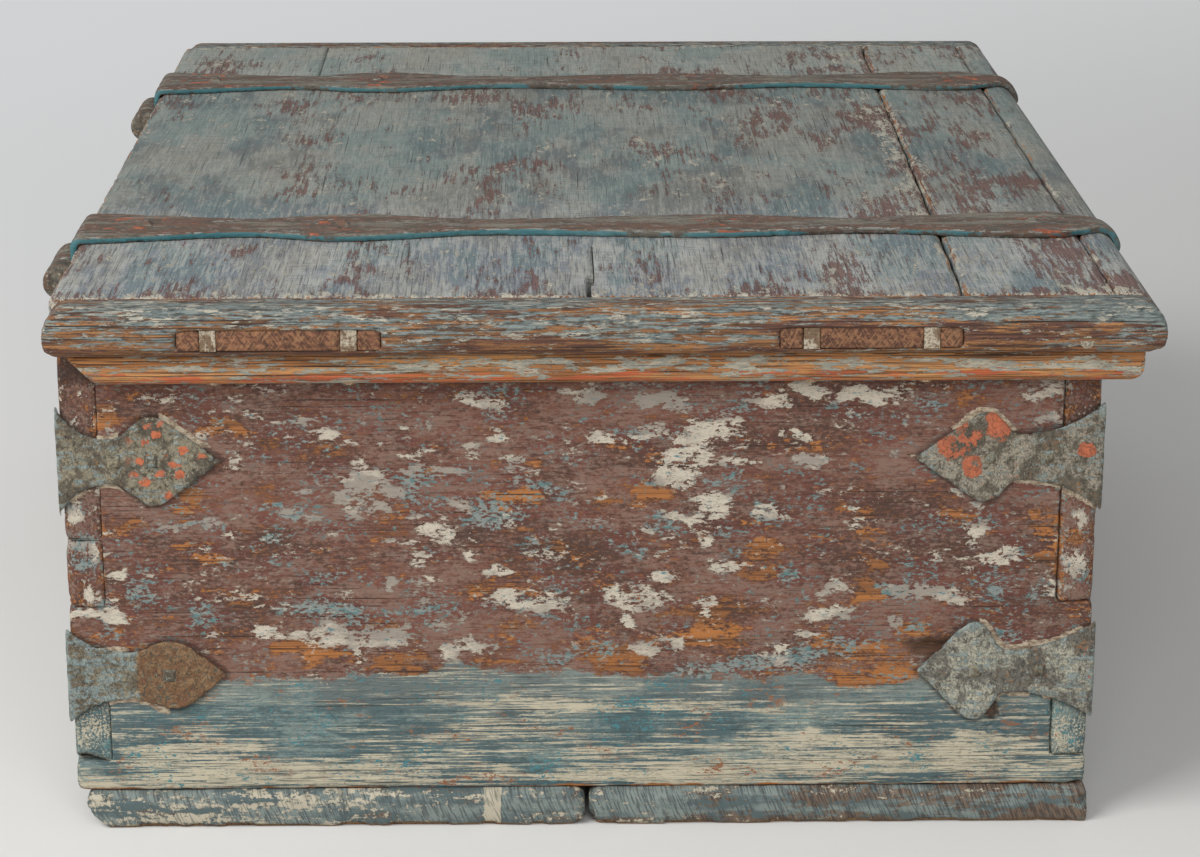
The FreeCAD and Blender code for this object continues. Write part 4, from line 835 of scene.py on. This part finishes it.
END_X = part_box("right_end_board")[1].x
SIDE_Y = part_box("back_lower_board")[1].y
INSIDE_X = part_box("left_end_board")[1].x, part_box("right_end_board")[0].x
INSIDE_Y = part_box("front_board")[1].y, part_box("back_lower_board")[0].y
LID_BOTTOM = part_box("lid_main_board")[0].z
LID_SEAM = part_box("lid_front_board")[1].y
CLEAT_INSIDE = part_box("left_cleat")[1].x
MORTISE_MIDDLE = (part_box("tenon_wedges")[0].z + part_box("tenon_wedges")[1].z) / 2
MORTISE_HALF = (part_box("tenon_wedges")[1].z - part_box("tenon_wedges")[0].z) / 2

# Lengths at the ends of boards that keep their fine mesh, for dovetails and for tenons
DOVETAIL_KEEP = 86 * MM
TENON_KEEP = 46 * MM
BEAD_HEIGHT = 0.7 * MM


def outside_box(points, margin):
    """One on the faces that look out of the box, nought on those that look into it."""
    past_x = np.maximum(INSIDE_X[0] - points[:, 0], points[:, 0] - INSIDE_X[1])
    past_y = np.maximum(INSIDE_Y[0] - points[:, 1], points[:, 1] - INSIDE_Y[1])
    return smooth_step(np.maximum(past_x, past_y), margin, margin + 2 * MM)


def mark_irons(piece, irons, seed):
    """Painted shade round the irons, and broken lines of thick paint along them."""
    feet = np.concatenate([iron.rest for iron in irons])
    tree = KDTree(len(feet))
    for number, foot in enumerate(feet):
        tree.insert(foot, number)
    tree.balance()
    distance = np.array([tree.find(point)[2] for point in piece.rest])
    ragged = layered(piece.rest, 9 * MM, seed)
    broken = smooth_step(layered(piece.rest, 28 * MM, seed + 1), -0.1, 0.15)
    piece.marks["bead"] = smooth_step(distance + 0.8 * MM * ragged, 3.0 * MM, 1.8 * MM) * broken
    # Where the painted shade round each iron falls
    piece.marks["iron_contact_shade"] = smooth_step(distance, 2.6 * MM, 1.4 * MM)
    piece.push(BEAD_HEIGHT * piece.marks["bead"])


# Dents and a lost chip in the left end: place, size and depth
HOLLOWS = {
    "left_end_board": (((-343, -182, 96), (6, 15, 6), 2.2 * MM), ((-343, -213, 63), (6, 6, 8), 2.0 * MM)),
    "back_lower_board": (((-343, 258, 35), (9, 11, 5), 4.0 * MM),),
}


def hollow(piece, place, size, depth):
    """Sink a round-bottomed hollow into a piece, darkened inside with dirt and painted shade."""
    reach = np.linalg.norm((piece.rest - np.array(place) * MM) / (np.array(size) * MM), axis=1)
    ragged = 0.25 * layered(piece.rest, 5 * MM, 411)
    sunk = smooth_step(reach + ragged, 1.0, 0.3)
    piece.push(-depth * sunk)
    piece.marks["hollow_dirt_and_shade"] = np.maximum(piece.marks["hollow_dirt_and_shade"], smooth_step(reach + ragged, 1.1, 0.7))


def wall(node, voxel, grain, stretch, tables, irons, seed):
    """A board of the box, painted outside."""
    piece = Worn(node, voxel, grain, stretch, keep=DOVETAIL_KEEP)
    from_corner = np.maximum(END_X - np.abs(piece.rest[:, 0]), SIDE_Y - np.abs(piece.rest[:, 1]))
    corner = smooth_step(from_corner, 12 * MM, 3 * MM)
    left = smooth_step(-piece.rest[:, 0], END_X - 4 * MM, END_X - 2 * MM)
    for name, table, end_table in zip(("cream", "teal", "bare"), tables, LEFT_PATCHES):
        own = patches(piece.rest, "xyz".index(grain), table)
        piece.marks[name] = own + left * (patches(piece.rest, 1, end_table) - own)
    piece.marks["outer"] = outside_box(piece.rest, 10 * MM)
    mark_irons(piece, irons, seed + 5)
    piece.round_edges(0.15 + 0.65 * corner, seed)
    piece.chip_edges((0.3 + 0.9 * corner) * MM, 9 * MM, 0.35, seed + 1)
    piece.raise_grain(grain, 0.18 * MM, 2.2 * MM, seed + 2)
    piece.marks["hollow_dirt_and_shade"] = np.zeros(len(piece.rest))
    for place in HOLLOWS.get(node, ()):
        hollow(piece, *place)
    return piece


# How many patches of cream, teal and bare wood each hidden side gets
PATCH_COUNTS = 70, 26, 30


def box_boards(irons):
    """The four walls."""
    ends = wall_paint("end_paint", "y")
    sides = wall_paint("side_paint", "x")
    wall("left_end_board", 1.4 * MM, "y", 3.0, LEFT_PATCHES, irons["left"], 1).finish(ends)
    boards = (("right_end_board", 1.6 * MM, "y", 3.0, irons["right"]),
              ("front_board", 2.1 * MM, "x", 1.0, irons["front"]),
              ("back_upper_board", 1.6 * MM, "x", 3.0, irons["back"]),
              ("back_lower_board", 1.6 * MM, "x", 3.0, irons["back"]))
    for number, (node, voxel, grain, stretch, near) in enumerate(boards):
        seed = 20 + 10 * number
        half_length = (END_X if grain == "x" else SIDE_Y) / MM
        tables = [random_patches(count, half_length, seed + place)
                  for place, count in enumerate(PATCH_COUNTS)]
        wall(node, voxel, grain, stretch, tables, near, seed).finish(ends if grain == "y" else sides)


# A sawn-off corner and a strip of pale paint on the bottom boards, along y
CUT_CORNER = 248 * MM
PALE_STRIP = 47 * MM


def bottom_boards():
    """Two boards across the foot, with sawn ends."""
    paint = bottom_paint("bottom_paint")
    for number, node in enumerate(("bottom_front_board", "bottom_back_board")):
        piece = Worn(node, 1.6 * MM, "x", 4.0)
        seed = 70 + 10 * number
        off_ground = smooth_step(piece.rest[:, 2], 0.3 * MM, 1.2 * MM)
        piece.marks["outer"] = outside_box(piece.rest, 8 * MM) * off_ground
        piece.marks["strip"] = smooth_step(np.abs(piece.rest[:, 1] - PALE_STRIP), 4.5 * MM, 3.0 * MM)
        piece.round_edges(1.4, seed)
        piece.chip_edges(2.2 * MM, 12 * MM, 0.20, seed + 1)
        piece.push(0.5 * MM * layered(piece.rest, (200 * MM, 30 * MM, 30 * MM), seed + 2))
        worn_end = smooth_step(piece.rest[:, 0], -240 * MM, -320 * MM)
        slope = CUT_CORNER + 1.1 * piece.rest[:, 2] + 20 * MM * (1 - worn_end)
        piece.points[:, 1] = np.minimum(piece.points[:, 1], slope)
        piece.points[:, 2] = np.maximum(piece.points[:, 2], 0)
        piece.finish(paint)


# Splits in the lid's main board: x from, x to, y, width and depth
GROOVES = {"lid_main_board": ((-341 * MM, -301 * MM, -4.0 * MM, 2.6 * MM, 18 * MM),
                              (-317 * MM, -239 * MM, -7.0 * MM, 0.8 * MM, 7 * MM),
                              (231 * MM, 341 * MM, 168 * MM, 1.0 * MM, 8 * MM))}


def cut_groove(piece, voxel, start, end, line, width, depth):
    """Open a split along x in the top of a board, as narrow as its points allow."""
    span = (piece.rest[:, 0] > start) & (piece.rest[:, 0] < end) & (piece.normals[:, 2] > 0.5)
    side = piece.rest[:, 1] - line
    reach = max(width / 2, voxel / 2)
    floor = span & (np.abs(side) < reach)
    lips = span & ~floor & (np.abs(side) < reach + voxel)
    piece.points[floor, 2] -= depth
    # The split's floor is marked for painted shade
    piece.marks["split"][floor] = 1.0
    piece.points[lips, 1] = line + np.sign(side[lips]) * width / 2


def lid_boards():
    """The boards of the lid, painted on top."""
    paint = lid_paint("lid_paint", "x")
    sizes = (("lid_main_board", 1.48 * MM), ("lid_front_board", 1.4 * MM), ("lid_front_strip", 1.2 * MM))
    for number, (node, voxel) in enumerate(sizes):
        piece = Worn(node, voxel, "x", 5.0, keep=TENON_KEEP)
        seed = 100 + 10 * number
        points = piece.rest
        near_seam = np.abs(points[:, 1] - LID_SEAM)
        near_cleat = np.abs(np.abs(points[:, 0]) + CLEAT_INSIDE)
        closest = np.minimum(near_seam, near_cleat)
        piece.marks["seam"] = smooth_step(closest + 6 * MM * layered(points, 25 * MM, seed), 22 * MM, 2 * MM)
        piece.marks["outer"] = smooth_step(points[:, 2] - LID_BOTTOM, 1.0 * MM, 3.0 * MM)
        piece.marks["cut"] = smooth_step(np.abs(points[:, 0]) + CLEAT_INSIDE, 4 * MM, 8 * MM)
        uncut = 1 - piece.marks["cut"]
        piece.round_edges(0.15 + 0.65 * uncut, seed + 1)
        piece.chip_edges(1.0 * MM * uncut, 8 * MM, 0.30, seed + 2)
        piece.raise_grain("x", 0.15 * MM, 2.4 * MM, seed + 3)
        piece.marks["split"] = np.zeros(len(points))
        for groove in GROOVES.get(node, ()):
            cut_groove(piece, voxel, *groove)
        piece.finish(paint)


def cleats():
    """The rounded bars across the lid's ends."""
    paint = cleat_paint("cleat_paint")
    for number, node in enumerate(("left_cleat", "right_cleat")):
        piece = Worn(node, 1.0 * MM, "y", 2.5)
        seed = 140 + 10 * number
        piece.marks["outer"] = smooth_step(piece.rest[:, 2] - LID_BOTTOM, 0.0, 1.0 * MM)
        piece.marks["tip"] = smooth_step(-piece.rest[:, 1], 200 * MM, 270 * MM)
        mouth = smooth_step(np.abs(piece.rest[:, 2] - MORTISE_MIDDLE), MORTISE_HALF + 2 * MM, MORTISE_HALF)
        piece.round_edges(0.8 * (1 - 0.85 * mouth), seed)
        piece.chip_edges(1.0 * MM * (1 - mouth), 8 * MM, 0.30, seed + 1)
        piece.raise_grain("y", 0.30 * MM, 1.6 * MM, seed + 2)
        piece.finish(paint)


def skirts():
    """The mouldings under the lid's edge."""
    for number, (node, grain) in enumerate((("left_skirt", "y"), ("right_skirt", "y"), ("front_skirt", "x"))):
        piece = Worn(node, 0.9 * MM, grain, 2.5)
        seed = 170 + 10 * number
        piece.round_edges(0.8, seed)
        piece.chip_edges(0.8 * MM, 7 * MM, 0.30, seed + 1)
        piece.raise_grain(grain, 0.25 * MM, 1.4 * MM, seed + 2)
        piece.finish(skirt_paint(node + "_paint", grain))


# How much of each coat the irons show at each corner
IRON_LOOKS = {
    "back_upper": {"blue": 0.055, "leaf_blue": -0.015, "primer": -0.2, "rust": -0.05, "dots": 1.0,
                   "dark": "5b5345", "light": "90866f"},
    "front_upper": {"blue": 0.050, "leaf_blue": -0.02, "primer": 0.02, "rust": -0.05, "dots": 0.0,
                    "dark": "61594b", "light": "a09684"},
    "back_lower": {"blue": 0.09, "leaf_blue": -0.16, "primer": -0.2, "rust": 0.25, "dots": 0.0,
                   "dark": "6a604e", "light": "9e937a"},
    "front_lower": {"blue": 0.055, "leaf_blue": 0.0, "primer": -0.2, "rust": -0.02, "dots": 0.0,
                    "dark": "6a675e", "light": "b3af9c"},
}
IRON_BASE = 34 * MM

# A bent lobe: its place in y and z, and how far it stands off
BENT_TIP = -212 * MM, 62 * MM
BENT_RISE = 3.0 * MM

# Red lead that is left on the upper front irons: (y, z, half width, half height)
LEAD_PATCHES = ((-192, 210, 11, 9), (-213, 219, 8, 11), (-200, 196, 5, 7), (-258, 204, 5, 4))


def lift(piece, tip):
    """Bend a leaf's lower lobe away from the left end."""
    reach = np.hypot(piece.rest[:, 1] - tip[0], piece.rest[:, 2] - tip[1])
    piece.points[:, 0] -= BENT_RISE * smooth_step(reach, 24 * MM, 4 * MM)


def corner_irons():
    """The eight leaf-ended irons, hammered and a little crooked, by the wall that they lie on."""
    by_wall = {"left": [], "right": [], "front": [], "back": []}
    for number, (end, (corner, look)) in enumerate(itertools.product(("left", "right"), IRON_LOOKS.items())):
        node = end + "_" + corner + "_iron"
        piece = Worn(node, 0.9 * MM)
        seed = 200 + 10 * number
        points = piece.rest
        from_end = np.abs(points[:, 0]).max() - np.abs(points[:, 0])
        from_side = np.abs(points[:, 1]).max() - np.abs(points[:, 1])
        reach = np.maximum(from_end, from_side)
        piece.marks["leaf"] = smooth_step(reach, IRON_BASE, IRON_BASE + 8 * MM)
        lead = LEAD_PATCHES if corner == "front_upper" else ()
        piece.marks["lead"] = patches(points, 1, lead, 0.3)
        piece.round_edges(0.6, seed)
        piece.chip_edges(0.7 * MM, 6 * MM, 0.30, seed + 1)
        piece.push(0.28 * MM * layered(points, 11 * MM, seed + 2))
        if node == "left_front_lower_iron":
            lift(piece, BENT_TIP)
        piece.finish(iron_paint(node + "_paint", look, seed))
        by_wall[end].append(piece)
        by_wall[corner.split("_")[0]].append(piece)
    return by_wall


# Red lead along the straps, in millimetres of y
STRAP_SPOTS = (240, 131, -80, -255)


def straps():
    """The two long hinge straps over the lid."""
    paint = strap_paint("strap_paint")
    for number, node in enumerate(("left_lid_strap", "right_lid_strap")):
        piece = Worn(node, 1.2 * MM)
        seed = 300 + 10 * number
        along = piece.rest[:, 1]
        flat = np.abs(piece.normals[:, 2])
        piece.marks["side"] = smooth_step(flat, 0.88, 0.55)
        nearest = np.min([np.abs(along - place * MM) for place in STRAP_SPOTS], axis=0)
        piece.marks["spots"] = smooth_step(nearest, 26 * MM, 6 * MM)
        piece.round_edges(0.5, seed)
        piece.chip_edges(0.6 * MM, 8 * MM, 0.30, seed + 1)
        piece.push(0.3 * MM * layered(piece.rest, (9 * MM, 22 * MM, 9 * MM), seed + 2))
        piece.finish(paint)


def soften(node, width, material):
    """Keep a CAD node, with its edges eased."""
    shape = nodes[node]
    bevel = shape.modifiers.new("eased", "BEVEL")
    bevel.width = width
    bevel.segments = 2
    bevel.limit_method = "ANGLE"
    shape.data.materials.clear()
    shape.data.materials.append(material)


def small_pieces():
    """Leaves, pins, lock, nails, pegs and wedges."""
    iron = forged_iron("forged_iron")
    for node in ("left_back_leaf", "right_back_leaf"):
        piece = Worn(node, 1.2 * MM)
        piece.round_edges(0.5, 331)
        piece.push(0.25 * MM * layered(piece.rest, 11 * MM, 332))
        piece.finish(iron)
    for node in ("left_hinge_pin", "right_hinge_pin", "lock_case", "lock_bolt", "lid_staple",
                 "back_leaf_nails", "bottom_nails", "lock_nails", "staple_nails"):
        soften(node, 0.3 * MM, iron)
    soften("corner_iron_nails", 0.3 * MM, iron_paint("nail_paint", IRON_LOOKS["back_upper"], 290))
    soften("lid_strap_nails", 0.3 * MM, strap_paint("strap_nail_paint"))
    soften("skirt_pegs", 0.4 * MM, peg_wood("skirt_peg_wood", "a58a6c", "8b7a66"))
    soften("cleat_pegs", 0.4 * MM, peg_wood("cleat_peg_wood", "a59c8a", "8b8472"))
    soften("tenon_wedges", 0.3 * MM, peg_wood("wedge_wood", "b5a994", "77614b"))


# Studio

FLOOR_HALF = 8.0
# Strength of the floor's painted glow
FLOOR_GLOW = 0.14
SKY_STRENGTH = 0.42
CHEST_MIDDLE = (0.0, 0.0, 0.15)

# Place, size in metres and power in watts of each lamp
LAMPS = {"key": ((-1.3, 1.6, 1.9), (1.6, 1.2), 49), "fill": ((-2.4, -0.3, 1.5), (1.5, 1.5), 20)}


def area_light(name, place, size, power):
    """A soft lamp that looks at the chest."""
    data = bpy.data.lights.new(name, "AREA")
    data.shape = "RECTANGLE"
    data.size, data.size_y = size
    data.energy = power
    lamp = bpy.data.objects.new(name, data)
    lamp.location = place
    lamp.rotation_mode = "QUATERNION"
    lamp.rotation_quaternion = (Vector(CHEST_MIDDLE) - Vector(place)).to_track_quat("-Z", "Y")
    bpy.context.scene.collection.objects.link(lamp)


def studio():
    """A pale floor, painted whiter and glowing further away as painted light, a large soft light from the
    back left and an even fill.
    """
    half = FLOOR_HALF
    mesh = bpy.data.meshes.new("floor")
    corners = [(-half, -half, 0), (half, -half, 0), (half, half, 0), (-half, half, 0)]
    mesh.from_pydata(corners, [], [(0, 1, 2, 3)])
    floor = bpy.data.objects.new("floor", mesh)
    bpy.context.scene.collection.objects.link(floor)
    paint = Paint("floor_paper")
    grain = paint.grit(0.3, 1, 3.0)
    colour = paint.blend(grain, "dcdbd8", "e0dfdc")
    # Painted light: the floor turns whiter further from the chest
    far = paint.step(paint.total((paint.axis("x"), 1.0), (paint.axis("y"), 0.8)), 1.2, 1.6)
    colour = paint.blend(far, colour, "ffffff")
    # Painted light: far off, the floor glows for camera, glossy and transmission rays
    rays = paint.node("ShaderNodeLightPath").outputs
    seen = paint.calc("MAXIMUM", rays["Is Camera Ray"], rays["Is Glossy Ray"])
    seen = paint.calc("MAXIMUM", seen, rays["Is Transmission Ray"])
    glow = paint.scaled(paint.scaled(paint.step(paint.axis("x"), 1.6, 1.0), FLOOR_GLOW), seen)
    paint.put(paint.shader.inputs["Emission Strength"], glow)
    paint.shader.inputs["Emission Color"].default_value = tint("ffffff")
    mesh.materials.append(paint.finish(colour, 0.9, (grain, 0.0002), shine=0.1))

    world = bpy.data.worlds.new("studio")
    bpy.context.scene.world = world
    world.use_nodes = True
    sky = world.node_tree.nodes["Background"]
    sky.inputs["Color"].default_value = tint("f2f4f6")
    sky.inputs["Strength"].default_value = SKY_STRENGTH
    for name, lamp in LAMPS.items():
        area_light(name, *lamp)
    bpy.context.scene.view_settings.view_transform = "Standard"


make_camera()
studio()
box_boards(corner_irons())
bottom_boards()
lid_boards()
cleats()
skirts()
straps()
small_pieces()
